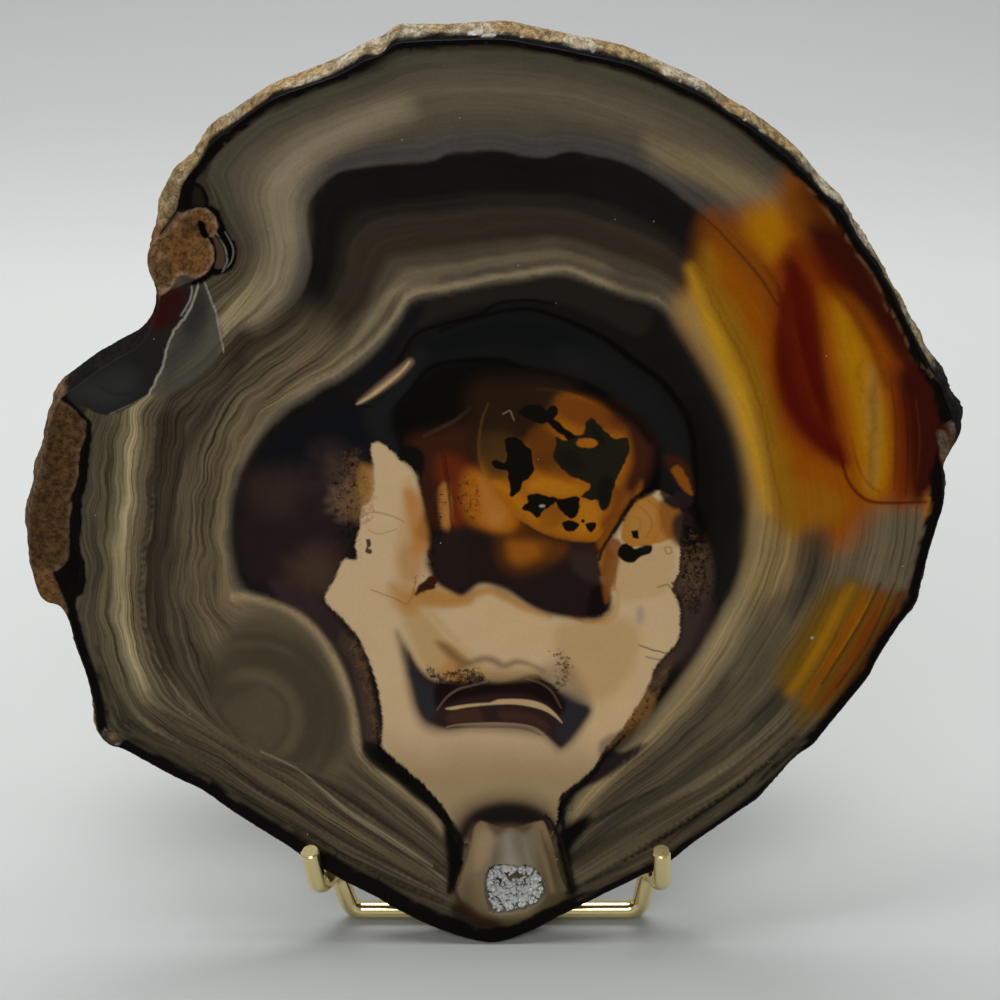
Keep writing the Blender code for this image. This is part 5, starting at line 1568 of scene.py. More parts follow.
def sector_weight(angle, span, fade=9.0):
    """Give how much of a clock sector each angle has, with a soft end."""
    if span is None:
        return np.ones(len(angle))
    width = (span[1] - span[0]) % 360.0
    into = (angle - span[0] + 180.0 - 0.5 * width) % 360.0 - (180.0 - 0.5 * width)
    return soft_step(0.5 + into / fade) * soft_step(0.5 + (width - into) / fade)


def growth(places):
    """Give each place's growth value: 0 at the rind, 4 at the last line, then on inward."""
    depths = []
    for line in GROWTH_LINES:
        curve = smooth_curve(line, True, 9.0)
        distance, inside, _ = measure(places, curve, True)
        depths.append(np.where(inside, distance, -distance))
    value = np.clip(depths[0] / OUTER_STEP, -1.0, 0.0)
    for index in range(len(depths) - 1):
        between = (depths[index] > 0.0) & (depths[index + 1] <= 0.0)
        share = depths[index] / np.maximum(depths[index] - depths[index + 1], 1e-6)
        value = np.where(between, index + share, value)
    inner = depths[-1] > 0.0
    return np.where(inner, len(depths) - 1 + depths[-1] / INNER_STEP, value)


def lay(tone, places, drawing, within=None):
    """Draw shapes over the tone of each place, held inside a mask if there is one."""
    for shape in drawing:
        near, share = cover(places, shape)
        if within is not None:
            share = share * within[near]
        colour = linear_colour(shape["colour"])
        tone[near] += (colour - tone[near]) * share[:, None]


def cover_all(places, shape):
    """Give how much a shape covers every place."""
    value = np.zeros(len(places))
    near, share = cover(places, shape)
    value[near] = share
    return value


def mask(places, drawing):
    """Give the strongest cover that any of the shapes gives each place."""
    value = np.zeros(len(places))
    for shape in drawing:
        near, share = cover(places, shape)
        value[near] = np.maximum(value[near], share)
    return value


def stone_look(places, edge):
    """Work out everything that the stone's material reads at each place of a face."""
    angle = clock_angle(places)
    value = growth(places)
    wobble = add_ripples(0.0, places, BAND_RIPPLES)
    left = sector_weight(angle, (205, 290), 30.0)
    moved = value + wobble * (0.4 + left)
    tone = np.zeros((len(places), 3))
    for start, end, colour, soft, strength, span in BANDS:
        share = soft_step(0.5 + (moved - start) / (2.0 * soft))
        share *= soft_step(0.5 + (end - moved) / (2.0 * soft))
        share *= strength * sector_weight(angle, span, 14.0)
        tone += (linear_colour(colour) - tone) * share[:, None]
    near, in_eye = cover(places, patch(16, EYE_ZONE))
    offset = places[near] - np.array(EYE)
    radius = np.hypot(offset[:, 0], offset[:, 1] * 0.98)
    for size, colour in EYE_RINGS:
        share = soft_step(0.5 + (size - radius) / 9.0) * in_eye
        tone[near] += (linear_colour(colour) - tone[near]) * share[:, None]
    tone *= add_ripples(1.0, places, SHADE_RIPPLES)[:, None]
    lay(tone, places, DRAWING)
    heart = cover_all(places, patch(0.8, HEART, jag=0.5))
    tone += (linear_colour("cream") - tone) * heart[:, None]
    lay(tone, places, HEART_SHADE, heart)
    lay(tone, places, HEART_DRAWING)
    lay(tone, places, QUARTZ_DRAWING)
    lay(tone, places, AMBER_DRAWING)
    lay(tone, places, EDGE_DRAWING)
    distance, _, _ = measure(places, edge[::EDGE_SKIP], True)
    widths = np.interp(angle, *zip(*RIND_WIDTHS)) * add_ripples(1.0, places, RIND_RIPPLES)
    rock = mask(places, ROCK)
    rind = soft_step(0.5 + (widths - distance) / 2.4) * (1.0 - soft_step(rock * 2.0))
    tone += (linear_colour("rind_black") - tone) * rind[:, None]
    lay(tone, places, RIND_DRAWING)
    heart = mask(places, [patch(4, HEART), patch(4, QUARTZ_ZONE)])
    amber = mask(places, [patch(6, AMBER_ZONE), patch(6, AMBER_FOOT)])
    fine = 0.28 + 0.5 * sector_weight(angle, (100, 312), 26.0)
    fine += 0.4 * sector_weight(angle, (184, 306), 16.0)
    fine *= 1.0 - soft_step((moved - 3.85) * 6.0)
    fine *= (1.0 - 0.6 * amber) * (1.0 - heart) * (1.0 - rock) * (1.0 - rind)
    fine *= 1.0 - cover_all(places, patch(3, WEDGE))
    fine *= 1.0 - 0.8 * cover_all(places, patch(3, WEDGE_SIDE))
    fine[near] *= 1.0 - np.minimum(1.0, 1.2 * in_eye)
    return {
        "tone": np.clip(tone, 0.0, 1.0),
        "band": moved,
        "fine": fine,
        "moss": mask(places, MOSS),
        "gold": mask(places, GOLD_MOSS),
        "rock": rock,
        "clear": heart,
    }


def row_points(drawings):
    """Give points in close rows along every crisp edge of the drawings."""
    rows = []
    for shape in drawings:
        if shape["soft"] > CRISP_EDGE:
            continue
        curve = shape_curve(shape)
        closed = shape["closed"]
        loop = np.vstack([curve, curve[:1]]) if closed else curve
        length = np.r_[0.0, np.cumsum(np.linalg.norm(np.diff(loop, axis=0), axis=1))]
        count = max(3, int(length[-1] / ROW_SPACING))
        places = np.linspace(0.0, length[-1], count, endpoint=not closed)
        even = np.stack([np.interp(places, length, loop[:, axis]) for axis in (0, 1)], -1)
        normal = normals_of(even, closed)
        soft = shape["soft"]
        if shape["widths"]:
            steps = np.linspace(0.0, 1.0, len(shape["widths"]))
            half = 0.5 * np.interp(places / length[-1], steps, shape["widths"])
            rows.append(even)
            for side in (-1.0, 1.0):
                rows.append(even + normal * (side * (half + soft))[:, None])
        else:
            rows.append(even + normal * soft)
            rows.append(even - normal * soft)
    return np.vstack(rows)


def rim_ring(loop, normals, share, inset):
    """Give one ring of the rim in mm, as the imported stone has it, with finer grain."""
    depth = share * SLICE_THICKNESS
    if inset == 0.0:
        depth = EDGE_CHAMFER + share * (SLICE_THICKNESS - 2.0 * EDGE_CHAMFER)
    belly = math.sin(math.pi * share)
    lumps = [(to_slice(pixel), reach, rise) for pixel, reach, rise in RIM_LUMPS]
    ring = np.zeros((len(loop), 3))
    for index, (point, normal) in enumerate(zip(loop, normals)):
        seed = Vector((point[0] * 0.32, point[1] * 0.32, depth * 0.45))
        rough = noise.noise(seed) + 0.5 * noise.noise(seed * 2.3)
        grit = 0.5 * noise.noise(seed * 6.1) + 0.35 * noise.noise(seed * 13.7)
        out = inset + belly * (RIM_BULGE + RIM_ROUGHNESS * rough) + (0.12 + 0.3 * belly) * grit
        for middle, reach, rise in lumps:
            far = math.dist(middle, point) / reach
            if far < 1.0:
                out += rise * (1.0 - far * far) ** 2 * math.sin(math.pi * (0.1 + 0.8 * share))
        drift = 0.5 * noise.noise(Vector((point[0] * 0.08, point[1] * 0.08, 7.0)))
        spot = point + normal * (out + share * drift)
        ring[index] = (spot[0], depth, spot[1] + share * RIM_RISE)
    return ring


def thin_out(points, cell):
    """Keep one point in each square cell."""
    keys = np.floor(points / cell).astype(np.int64)
    _, first = np.unique(keys[:, 0] * 100000 + keys[:, 1], return_index=True)
    return points[np.sort(first)]


def hex_grid(spacing, shift):
    """Give a grid of points in equal triangles over the whole picture."""
    rise = spacing * math.sqrt(3.0) / 2.0
    rows = np.arange(0.0, PICTURE_SIZE, rise)
    columns = np.arange(0.0, PICTURE_SIZE, spacing)
    x, y = np.meshgrid(columns, rows)
    x[1::2] += 0.5 * spacing
    return np.stack([x.ravel() + shift, y.ravel() + shift], -1)


def drop_near(points, others, least):
    """Drop the points that lie nearer than least to any of the others."""
    tree = kdtree.KDTree(len(others))
    for index, other in enumerate(others):
        tree.insert((other[0], other[1], 0.0), index)
    tree.balance()
    keep = [tree.find((point[0], point[1], 0.0))[2] > least for point in points]
    return points[np.array(keep)]


def face_points(edge, margin, close, wide, rows):
    """Give the inner points of a face in picture pixels, closest where the drawing is finest."""
    zones = [patch(2, zone) for zone in CLOSE_ZONES]
    near = hex_grid(close, CLOSE_SHIFT)
    near = near[mask(near, zones) > 0.5]
    far = hex_grid(wide, 0.0)
    far = far[mask(far, zones) <= 0.5]
    inward = normals_of(edge, True)
    fringe = [edge[::2] + inward[::2] * depth for depth in FRINGE_DEPTHS]
    fringe = thin_out(np.vstack(fringe), FRINGE_CELL)
    grid = np.vstack([near, drop_near(far, fringe, 0.6 * wide)])
    fringe = drop_near(fringe, near, 0.8 * close)
    grid = np.vstack([grid, fringe])
    if rows:
        drawings = DRAWING + HEART_DRAWING + QUARTZ_DRAWING + AMBER_DRAWING + EDGE_DRAWING
        extra = [row_points(drawings)]
        for line, shifts in GROWTH_ROWS:
            curve = even_loop(GROWTH_LINES[line], GROWTH_ROW_POINTS)
            across = normals_of(curve, True)
            extra += [curve + across * shift for shift in shifts]
        extra = thin_out(np.vstack(extra), ROW_CELL)
        grid = np.vstack([drop_near(grid, extra, ROW_CLEARANCE), extra])
    distance, inside, _ = measure(grid, edge[::EDGE_SKIP], True)
    return grid[inside & (distance > margin)]


def triangulate(ring, inner):
    """Join a ring and the points in it by triangles, all in mm."""
    count = len(ring)
    points = [Vector(point) for point in np.vstack([ring, inner])]
    edges = [(index, (index + 1) % count) for index in range(count)]
    found = geometry.delaunay_2d_cdt(points, edges, [], 1, 1e-6)
    source = np.array([first[0] if first else -1 for first in found[3]])
    return source[np.array(found[2])]


def pocket_share(places):
    """Give how far each place lies from the hollow's middle, 1 at its edge."""
    outline = even_loop(to_slice(POCKET_OUTLINE), POCKET_POINTS)
    middle = outline.mean(0)
    arms = outline - middle
    angles = np.arctan2(arms[:, 1], arms[:, 0])
    order = np.argsort(angles)
    reach = np.hypot(arms[:, 0], arms[:, 1])[order]
    offset = to_slice(places) - middle
    angle = np.arctan2(offset[:, 1], offset[:, 0])
    edge_reach = np.interp(angle, angles[order], reach, period=2.0 * math.pi)
    return np.hypot(offset[:, 0], offset[:, 1]) / edge_reach


def pocket_depth(share):
    """Give the hollow's depth in mm at each share of the way to its edge."""
    return POCKET_DEPTH * np.sqrt(np.maximum(0.0, 1.0 - share ** 3.0))


def rock_depth(places, rock):
    """Give how far raw rock is eaten into the face at each place, in mm."""
    flat = to_slice(places)
    depth = np.zeros(len(places))
    for index in np.flatnonzero(rock > 0.02):
        seed = Vector((flat[index, 0], flat[index, 1], 3.0))
        grit = 0.5 + 0.7 * noise.noise(seed * 0.8) + 0.5 * noise.noise(seed * 2.1)
        depth[index] = 0.32 * rock[index] * max(0.05, grit)
    for pixel, radius, deep in ROCK_PITS:
        far = np.linalg.norm(flat - to_slice(pixel), axis=1) / radius
        depth = np.maximum(depth, deep * np.sqrt(np.maximum(0.0, 1.0 - far ** 2)))
    return depth


def to_world(spots):
    """Turn mm across, into and up the slice into metres in the scene."""
    across, depth, up = spots[:, 0], spots[:, 1], spots[:, 2]
    return MM * np.stack([
        SLICE_ORIGIN[0] + across,
        SLICE_ORIGIN[1] + up * math.sin(SLICE_LEAN) + depth * math.cos(SLICE_LEAN),
        SLICE_ORIGIN[2] + up * math.cos(SLICE_LEAN) - depth * math.sin(SLICE_LEAN),
    ], -1)


def unit(value):
    """Hold a number between 0 and 1."""
    return min(1.0, max(0.0, value))


def rim_colour(spots, places):
    """Give the rough rim's colour: tan skin, grey chips and dark patches, with painted light: fewer
    dark patches toward the top, and painted glints at the crown.
    """
    angle = clock_angle(places)
    # How far round the top a place is; the top's fewer dark patches are painted light
    top = sector_weight(angle, (290, 70), 40.0)
    crown = sector_weight(angle, (338, 40), 6.0)
    shoulder = sector_weight(angle, (294, 318), 6.0)
    skin = np.zeros((len(spots), 3))
    names = ("tan_skin", "grey_skin", "dark_skin", "rust_skin", "painted_glint", "black")
    tan, grey, dark, rusty, painted_glint, black = (linear_colour(name) for name in names)
    for index, spot in enumerate(spots):
        seed = Vector(spot)
        broad = noise.noise(seed * 0.13)
        blotch = noise.noise(seed * 0.42 + Vector((5.0, 2.0, 9.0)))
        stain = noise.noise(seed * 0.3 - seed)
        grit = noise.noise(seed * 1.9)
        colour = tan + (grey - tan) * unit(0.25 + 2.0 * broad)
        colour = colour + (dark - colour) * unit(0.2 + 1.8 * blotch - 0.35 * top[index])
        colour = colour + (rusty - colour) * unit(3.0 * stain - 0.7)
        colour = colour * (1.0 + 0.22 * grit)
        seam = 1.15 + 0.6 * noise.noise(seed * 0.25 + Vector((3.0, 0.0, 1.0)))
        seam *= 1.0 - 0.75 * shoulder[index]
        share = unit(0.5 + (seam - spot[1]) / 0.8)
        # Painted glints: pale flecks along the black seam at the crown
        if noise.noise(seed * 0.8) > 0.34 and crown[index] > 0.5 and abs(spot[1] - seam) < 0.35:
            colour = painted_glint
            share = 0.2
        skin[index] = colour + (black - colour) * share
    skin = np.clip(skin, 0.003, 1.0)
    lay(skin, places, RIM_DRAWING)
    return skin


def build_half(name, back, loop, normals, edge):
    """Build one half of the stone as a closed mesh, with all that its material reads."""
    shares = np.linspace(1.0, 0.5, HALF_RINGS) if back else np.linspace(0.0, 0.5, HALF_RINGS)
    rings = [rim_ring(loop, normals, 1.0 if back else 0.0, -EDGE_CHAMFER)]
    rings += [rim_ring(loop, normals, share, 0.0) for share in shares]
    if back:
        inner = face_points(edge, BACK_MARGIN, BACK_HEART_SPACING, BACK_BAND_SPACING, False)
    else:
        inner = face_points(edge, FRONT_MARGIN, HEART_SPACING, BAND_SPACING, True)
    rise = RIM_RISE if back else 0.0
    flat = to_slice(inner) + np.array([0.0, rise])
    count = len(loop)
    face = triangulate(rings[0][:, [0, 2]], flat)
    ring_places = to_picture(rings[0][:, [0, 2]] - np.array([0.0, rise]))
    places = np.vstack([ring_places, inner])
    look = stone_look(places, edge)
    depth = rings[0][0, 1] + np.zeros(len(inner))
    if not back:
        share = pocket_share(inner)
        bowl = np.where(share < 1.0, pocket_depth(share), 0.0)
        depth += np.maximum(bowl, rock_depth(inner, look["rock"][count:]))
    spots = [rings[0], np.stack([flat[:, 0], depth, flat[:, 1]], -1)]
    spots += rings[1:]
    spots = np.vstack(spots)
    faces = (face[:, ::-1] if back else face).tolist()
    starts = [0] + [len(places) + count * index for index in range(HALF_RINGS)]
    for near, far in zip(starts, starts[1:]):
        for index in range(count):
            after = (index + 1) % count
            quad = (near + index, near + after, far + after, far + index)
            faces.append(quad[::-1] if back else quad)
    cap = [starts[-1] + index for index in range(count)]
    faces.append(cap[::-1] if back else cap)
    mesh = bpy.data.meshes.new(name)
    mesh.from_pydata(to_world(spots).tolist(), [], faces)
    rim = np.vstack(rings[1:])
    rim_flat = rim[:, [0, 2]]
    rim_flat[:, 1] -= rim[:, 1] * RIM_RISE / SLICE_THICKNESS
    rim_places = to_picture(rim_flat)
    tone = np.vstack([look["tone"], rim_colour(rim, rim_places)])
    write_values(mesh, "tone", np.hstack([tone, np.ones((len(tone), 1))]))
    for key in ("band", "fine", "moss", "gold", "clear", "rock"):
        on_rim = np.full(len(rim), 1.0 if key == "rock" else 0.0)
        write_values(mesh, key, np.r_[look[key], on_rim])
    spread = np.vstack([places, rim_places]) / PLACE_PIXELS
    write_values(mesh, "place", np.hstack([spread, spots[:, 1:2] / PLACE_DEPTH]))
    return link_mesh(name, mesh, SHARP_RIM_ANGLE)


def link_mesh(name, mesh, angle):
    """Add a mesh to the scene, smooth but for edges sharper than an angle in degrees."""
    mesh.shade_smooth()
    mesh.set_sharp_from_angle(angle=math.radians(angle))
    made = bpy.data.objects.new(name, mesh)
    bpy.context.scene.collection.objects.link(made)
    return made


def write_values(mesh, name, values):
    """Store one value for each vertex: a number, a vector or a colour."""
    kinds = {1: ("FLOAT", "value"), 3: ("FLOAT_VECTOR", "vector"), 4: ("FLOAT_COLOR", "color")}
    kind, field = kinds[1 if values.ndim == 1 else values.shape[1]]
    layer = mesh.attributes.new(name, kind, "POINT")
    layer.data.foreach_set(field, np.ascontiguousarray(values, np.float32).ravel())


def add_node(tree, kind, values=None, **settings):
    """Add a node, set its options, and set or link its inputs."""
    made = tree.nodes.new(kind)
    for name, value in settings.items():
        setattr(made, name, value)
    for name, value in (values or {}).items():
        socket = made.inputs[name]
        if isinstance(value, bpy.types.NodeSocket):
            tree.links.new(value, socket)
        else:
            socket.default_value = value
    return made


def calc(tree, operation, first, second=0.0, third=0.0, clamp=False):
    """Add a maths node and give its result."""
    made = add_node(tree, "ShaderNodeMath", {0: first, 1: second, 2: third}, operation=operation)
    made.use_clamp = clamp
    return made.outputs[0]


def mix_colours(tree, share, first, second, mode="MIX"):
    """Add a colour mix and give its result."""
    made = add_node(tree, "ShaderNodeMix", {0: share, 6: first, 7: second}, data_type="RGBA",
                    blend_type=mode)
    return made.outputs[2]


def read_value(tree, name, output="Fac"):
    """Give a stored value of the mesh as a socket."""
    return add_node(tree, "ShaderNodeAttribute", attribute_name=name).outputs[output]


def grain(tree, where, scale, detail=3.0, roughness=0.55):
    """Give a noise value between 0 and 1."""
    made = add_node(tree, "ShaderNodeTexNoise", {"Vector": where, "Scale": scale, "Detail": detail,
                                                 "Roughness": roughness})
    return made.outputs["Fac"]


def ramp_up(tree, value, start, slope):
    """Give 0 below start, then rise by slope up to 1."""
    return calc(tree, "MULTIPLY", calc(tree, "SUBTRACT", value, start), slope, clamp=True)


def as_grey(tree, value):
    """Give a value as a grey colour."""
    return add_node(tree, "ShaderNodeCombineXYZ", {0: value, 1: value, 2: value}).outputs[0]


def new_material(name):
    """Start a material and give its node tree and main shader."""
    material = bpy.data.materials.new(name)
    material.use_nodes = True
    tree = material.node_tree
    return material, tree, tree.nodes["Principled BSDF"]


def colour_value(name):
    """Give a palette colour as a socket value."""
    return (*linear_colour(name), 1.0)


def agate_material():
    """Polished banded stone, with raw rock where the mesh says so."""
    material, tree, shader = new_material("polished_agate")
    tone = read_value(tree, "tone", "Color")
    names = ("band", "fine", "moss", "gold", "rock", "clear")
    band, fine, moss, gold, rock, clear = (read_value(tree, name) for name in names)
    place = read_value(tree, "place", "Vector")
    split = add_node(tree, "ShaderNodeSeparateXYZ", {0: place})

    # Fine bands, pressed flat along the growth and broken along their length
    drift = calc(tree, "SUBTRACT", grain(tree, place, 1.2, 2.0), 0.5)
    drift = calc(tree, "MULTIPLY", drift, 0.12)
    layer = calc(tree, "ADD", band, drift)
    lines = []
    for along, across in ((0.5, FINE_LINES), (1.3, 2.3 * FINE_LINES)):
        vector = add_node(tree, "ShaderNodeCombineXYZ", {
            0: calc(tree, "MULTIPLY", split.outputs[0], along),
            1: calc(tree, "MULTIPLY", split.outputs[1], along),
            2: calc(tree, "MULTIPLY", layer, across),
        })
        lines.append(grain(tree, vector.outputs[0], 1.0, 2.5, 0.6))
    line = calc(tree, "MULTIPLY_ADD", lines[1], 0.6, calc(tree, "MULTIPLY", lines[0], 0.8))
    swing = calc(tree, "MULTIPLY", calc(tree, "SUBTRACT", line, 0.7), 2.6)
    swing = calc(tree, "MULTIPLY", swing, fine)
    # Fine and cloudy mottling, weaker in the clear heart
    scratchy = calc(tree, "SUBTRACT", grain(tree, place, 26.0, 4.0, 0.65), 0.5)
    cloudy = calc(tree, "SUBTRACT", grain(tree, place, 3.2, 3.0), 0.5)
    mottle = calc(tree, "MULTIPLY_ADD", scratchy, 0.34, calc(tree, "MULTIPLY", cloudy, 0.3))
    unclear = calc(tree, "SUBTRACT", 1.0, calc(tree, "MULTIPLY", clear, 0.55))
    mottle = calc(tree, "MULTIPLY", mottle, unclear)
    lightness = calc(tree, "ADD", calc(tree, "ADD", mottle, swing), 1.0)
    lightness = calc(tree, "MAXIMUM", lightness, 0.25)
    colour = mix_colours(tree, 1.0, tone, as_grey(tree, lightness), "MULTIPLY")

    # Golden moss, then dark moss over it
    golden = calc(tree, "MULTIPLY_ADD", gold, 0.3, grain(tree, place, 13.0, 6.0, 0.8))
    golden = ramp_up(tree, golden, 0.66, 6.0)
    golden = calc(tree, "MULTIPLY", golden, ramp_up(tree, gold, 0.0, 6.0))
    golden = calc(tree, "MULTIPLY", golden, 0.6)
    colour = mix_colours(tree, golden, colour, colour_value("moss_gold"))
    mossy = calc(tree, "MULTIPLY_ADD", moss, 0.35, grain(tree, place, 16.0, 7.0, 0.85))
    mossy = ramp_up(tree, mossy, 0.72, 9.0)
    mossy = calc(tree, "MULTIPLY", mossy, ramp_up(tree, moss, 0.0, 8.0))
    mossy = calc(tree, "MULTIPLY", mossy, 0.9)
    colour = mix_colours(tree, mossy, colour, colour_value("black"))

    # Granular raw rock
    granular = grain(tree, place, 15.0, 6.0, 0.8)
    rocky = ramp_up(tree, granular, 0.42, 6.5)
    rocky = calc(tree, "MULTIPLY_ADD", grain(tree, place, 5.0, 3.0), 0.5, rocky)
    rocky = calc(tree, "MULTIPLY_ADD", rocky, 0.85, 0.24)
    rock_colour = mix_colours(tree, 1.0, colour, as_grey(tree, rocky), "MULTIPLY")
    colour = mix_colours(tree, rock, colour, rock_colour)

    # A few pale specks on the polish
    specks = add_node(tree, "ShaderNodeTexVoronoi", {"Vector": place, "Scale": 5.2})
    rare = add_node(tree, "ShaderNodeSeparateColor", {0: specks.outputs["Color"]})
    speck = calc(tree, "LESS_THAN", specks.outputs["Distance"], 0.038)
    speck = calc(tree, "MULTIPLY", speck, calc(tree, "GREATER_THAN", rare.outputs[0], 0.86))
    speck = calc(tree, "MULTIPLY", speck, calc(tree, "SUBTRACT", 1.0, rock, clamp=True))
    colour = mix_colours(tree, calc(tree, "MULTIPLY", speck, 0.6), colour, colour_value("chip_and_glint"))

    gain = (FACE_GAIN, FACE_GAIN, FACE_GAIN)
    gained = add_node(tree, "ShaderNodeVectorMath", {0: colour, 1: gain}, operation="MULTIPLY")
    tree.links.new(gained.outputs[0], shader.inputs["Base Color"])
    roughness = calc(tree, "MULTIPLY_ADD", rock, 0.62, 0.13, clamp=True)
    tree.links.new(roughness, shader.inputs["Roughness"])
    shader.inputs["Specular IOR Level"].default_value = 0.04
    shader.inputs["IOR"].default_value = 1.54
    relief = add_node(tree, "ShaderNodeBump", {
        "Strength": calc(tree, "MULTIPLY", rock, 0.75),
        "Distance": 0.0006,
        "Height": granular,
    })
    tree.links.new(relief.outputs[0], shader.inputs["Normal"])
    return material


def quartz_material():
    """Small clear crystals, a little milky."""
    material, _, shader = new_material("clear_quartz")
    shader.inputs["Base Color"].default_value = (0.92, 0.92, 0.90, 1.0)
    shader.inputs["Roughness"].default_value = 0.04
    shader.inputs["IOR"].default_value = 1.54
    shader.inputs["Transmission Weight"].default_value = 0.4
    return material


def gold_material():
    """Polished gold-coloured wire."""
    material, tree, shader = new_material("gold_wire")
    where = add_node(tree, "ShaderNodeTexCoord").outputs["Object"]
    wear = grain(tree, where, 900.0, 3.0)
    colour = mix_colours(tree, wear, (0.83, 0.68, 0.33, 1.0), (0.90, 0.76, 0.41, 1.0))
    tree.links.new(colour, shader.inputs["Base Color"])
    shader.inputs["Metallic"].default_value = 1.0
    tree.links.new(calc(tree, "MULTIPLY_ADD", wear, 0.10, 0.09), shader.inputs["Roughness"])
    return material


def sheet_material():
    """The matt pale sheet under the slice, with painted shade: a little darker in front and up the
    wall.
    """
    material, tree, shader = new_material("pale_sheet")
    shade = read_value(tree, "shade")
    colour = mix_colours(tree, 1.0, (0.505, 0.52, 0.51, 1.0), as_grey(tree, shade), "MULTIPLY")
    tree.links.new(colour, shader.inputs["Base Color"])
    shader.inputs["Roughness"].default_value = 0.9
    return material


def rounded_path(corners, radius, step):
    """Follow straight runs between corners, with each inner corner turned into an arc."""
    path = [corners[0]]
    for before, corner, after in zip(corners, corners[1:], corners[2:]):
        back = (before - corner).normalized()
        on = (after - corner).normalized()
        half = 0.5 * back.angle(on)
        run = radius / math.tan(half)
        middle = corner + (back + on).normalized() * (radius / math.sin(half))
        start = corner + back * run - middle
        end = corner + on * run - middle
        sweep = start.angle(end)
        steps = max(3, round(math.degrees(sweep) / step))
        for index in range(steps + 1):
            t = index / steps
            arm = math.sin((1.0 - t) * sweep) * start + math.sin(t * sweep) * end
            path.append(middle + arm / math.sin(sweep))
    path.append(corners[-1])
    return path


def join_rings(bm, rings):
    """Join rings of vertices, one after the other, by faces."""
    count = len(rings[0])
    for near, far in zip(rings, rings[1:]):
        for index in range(count):
            after = (index + 1) % count
            bm.faces.new((near[index], near[after], far[after], far[index]))


def wire_mesh(bm, path, radius):
    """Add a round wire with slightly rounded cut ends along a path in mm."""
    first = (path[1] - path[0]).normalized()
    last = (path[-1] - path[-2]).normalized()
    trim = WIRE_END_TRIM * radius
    end_size = 1.0 - WIRE_END_TRIM
    spine = [(path[0], end_size), (path[0] + first * trim, 1.0)]
    spine += [(point, 1.0) for point in path[1:-1]]
    spine += [(path[-1] - last * trim, 1.0), (path[-1], end_size)]
    side = first.orthogonal().normalized()
    rings = []
    for index, (point, size) in enumerate(spine):
        before = spine[max(index - 1, 0)][0]
        after = spine[min(index + 1, len(spine) - 1)][0]
        along = (after - before).normalized()
        side = (side - along * side.dot(along)).normalized()
        other = along.cross(side)
        ring = []
        for step in range(WIRE_SIDES):
            turn = 2.0 * math.pi * step / WIRE_SIDES
            arm = side * math.cos(turn) + other * math.sin(turn)
            ring.append(bm.verts.new((point + arm * radius * size) * MM))
        rings.append(ring)
    join_rings(bm, rings)
    bm.faces.new(list(reversed(rings[0])))
    bm.faces.new(rings[-1])


def finish_mesh(bm, name, material, angle):
    """Turn a bmesh into an object with smooth shading and sharp edges."""
    bmesh.ops.recalc_face_normals(bm, faces=bm.faces)
    mesh = bpy.data.meshes.new(name)
    bm.to_mesh(mesh)
    bm.free()
    mesh.materials.append(material)
    return link_mesh(name, mesh, angle)


def make_wires(material):
    """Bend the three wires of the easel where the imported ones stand."""
    made = []
    for name, corners, radius, local in WIRES:
        shift = Vector(STAND_PLACE) if local else Vector((0.0, 0.0, 0.0))
        points = [Vector(corner) + shift for corner in corners]
        bm = bmesh.new()
        wire_mesh(bm, rounded_path(points, radius, WIRE_BEND_STEP), 0.5 * WIRE_DIAMETER)
        piece = finish_mesh(bm, name + "_wire", material, SHARP_WIRE_ANGLE)
        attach(piece, "root")
        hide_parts(name)
        made.append(piece)
    return made


def make_crystals(material):
    """Grow small six-sided quartz points over the hollow's wall."""
    rng = random.Random(CRYSTAL_SEED)
    outline = even_loop(to_slice(POCKET_OUTLINE), POCKET_POINTS)
    middle = outline.mean(0)
    bm = bmesh.new()
    for index in range(CRYSTAL_COUNT):
        reach = math.sqrt((index + 0.5) / CRYSTAL_COUNT) * CRYSTAL_REACH
        turn = index * CRYSTAL_TURN
        edge_point = outline[int(turn / (2.0 * math.pi) * POCKET_POINTS) % POCKET_POINTS]
        spot = middle + (edge_point - middle) * reach
        radius = rng.choice(CRYSTAL_RADII)
        if spot[1] > middle[1] + 0.6 and reach < 0.62 and rng.random() < 0.7:
            continue
        deep = float(pocket_depth(np.array(reach))) - 0.3
        length = rng.uniform(0.3, 1.1)
        inward = Vector((middle[0] - spot[0], 0.0, middle[1] - spot[1])) * 0.16 * reach
        tilt = Vector((rng.uniform(-0.6, 0.6), -1.0, rng.uniform(-0.6, 0.6)))
        along = (tilt + inward).normalized()
        base = Vector((spot[0], deep, spot[1]))
        top = base + along * length
        side = along.orthogonal().normalized()
        other = along.cross(side)
        spin = rng.uniform(0.0, math.pi)
        low = []
        high = []
        for corner in range(6):
            angle = spin + corner * math.pi / 3.0
            arm = (side * math.cos(angle) + other * math.sin(angle)) * radius
            low.append(base + arm)
            high.append(top + arm * 0.96)
        peak = top + along * radius * rng.uniform(0.7, 1.1) + side * rng.uniform(-0.1, 0.1)
        spots = to_world(np.array([tuple(point) for point in low + high + [peak]]))
        verts = [bm.verts.new(tuple(point)) for point in spots]
        for corner in range(6):
            after = (corner + 1) % 6
            bm.faces.new((verts[corner], verts[after], verts[6 + after], verts[6 + corner]))
            bm.faces.new((verts[6 + corner], verts[6 + after], verts[12]))
        bm.faces.new(verts[:6])
    piece = finish_mesh(bm, "quartz_points", material, SHARP_CRYSTAL_ANGLE)
    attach(piece, "root")
    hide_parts("quartz_crust")
    return piece


def floor_shade(across, along):
    """Give the floor's painted shade at a place in mm: the painted falloff of the light times the
    painted soft shadows.
    """
    dark = 1.0
    for middle, reach, strength in FLOOR_PAINTED_SHADOWS:
        sideways = (across - middle[0]) / reach[0]
        inward = (along - middle[1]) / reach[1]
        dark *= 1.0 - strength * math.exp(-sideways ** 4 - inward ** 2)
    return float(np.interp(along, *FLOOR_PAINTED_FALLOFF)) * dark


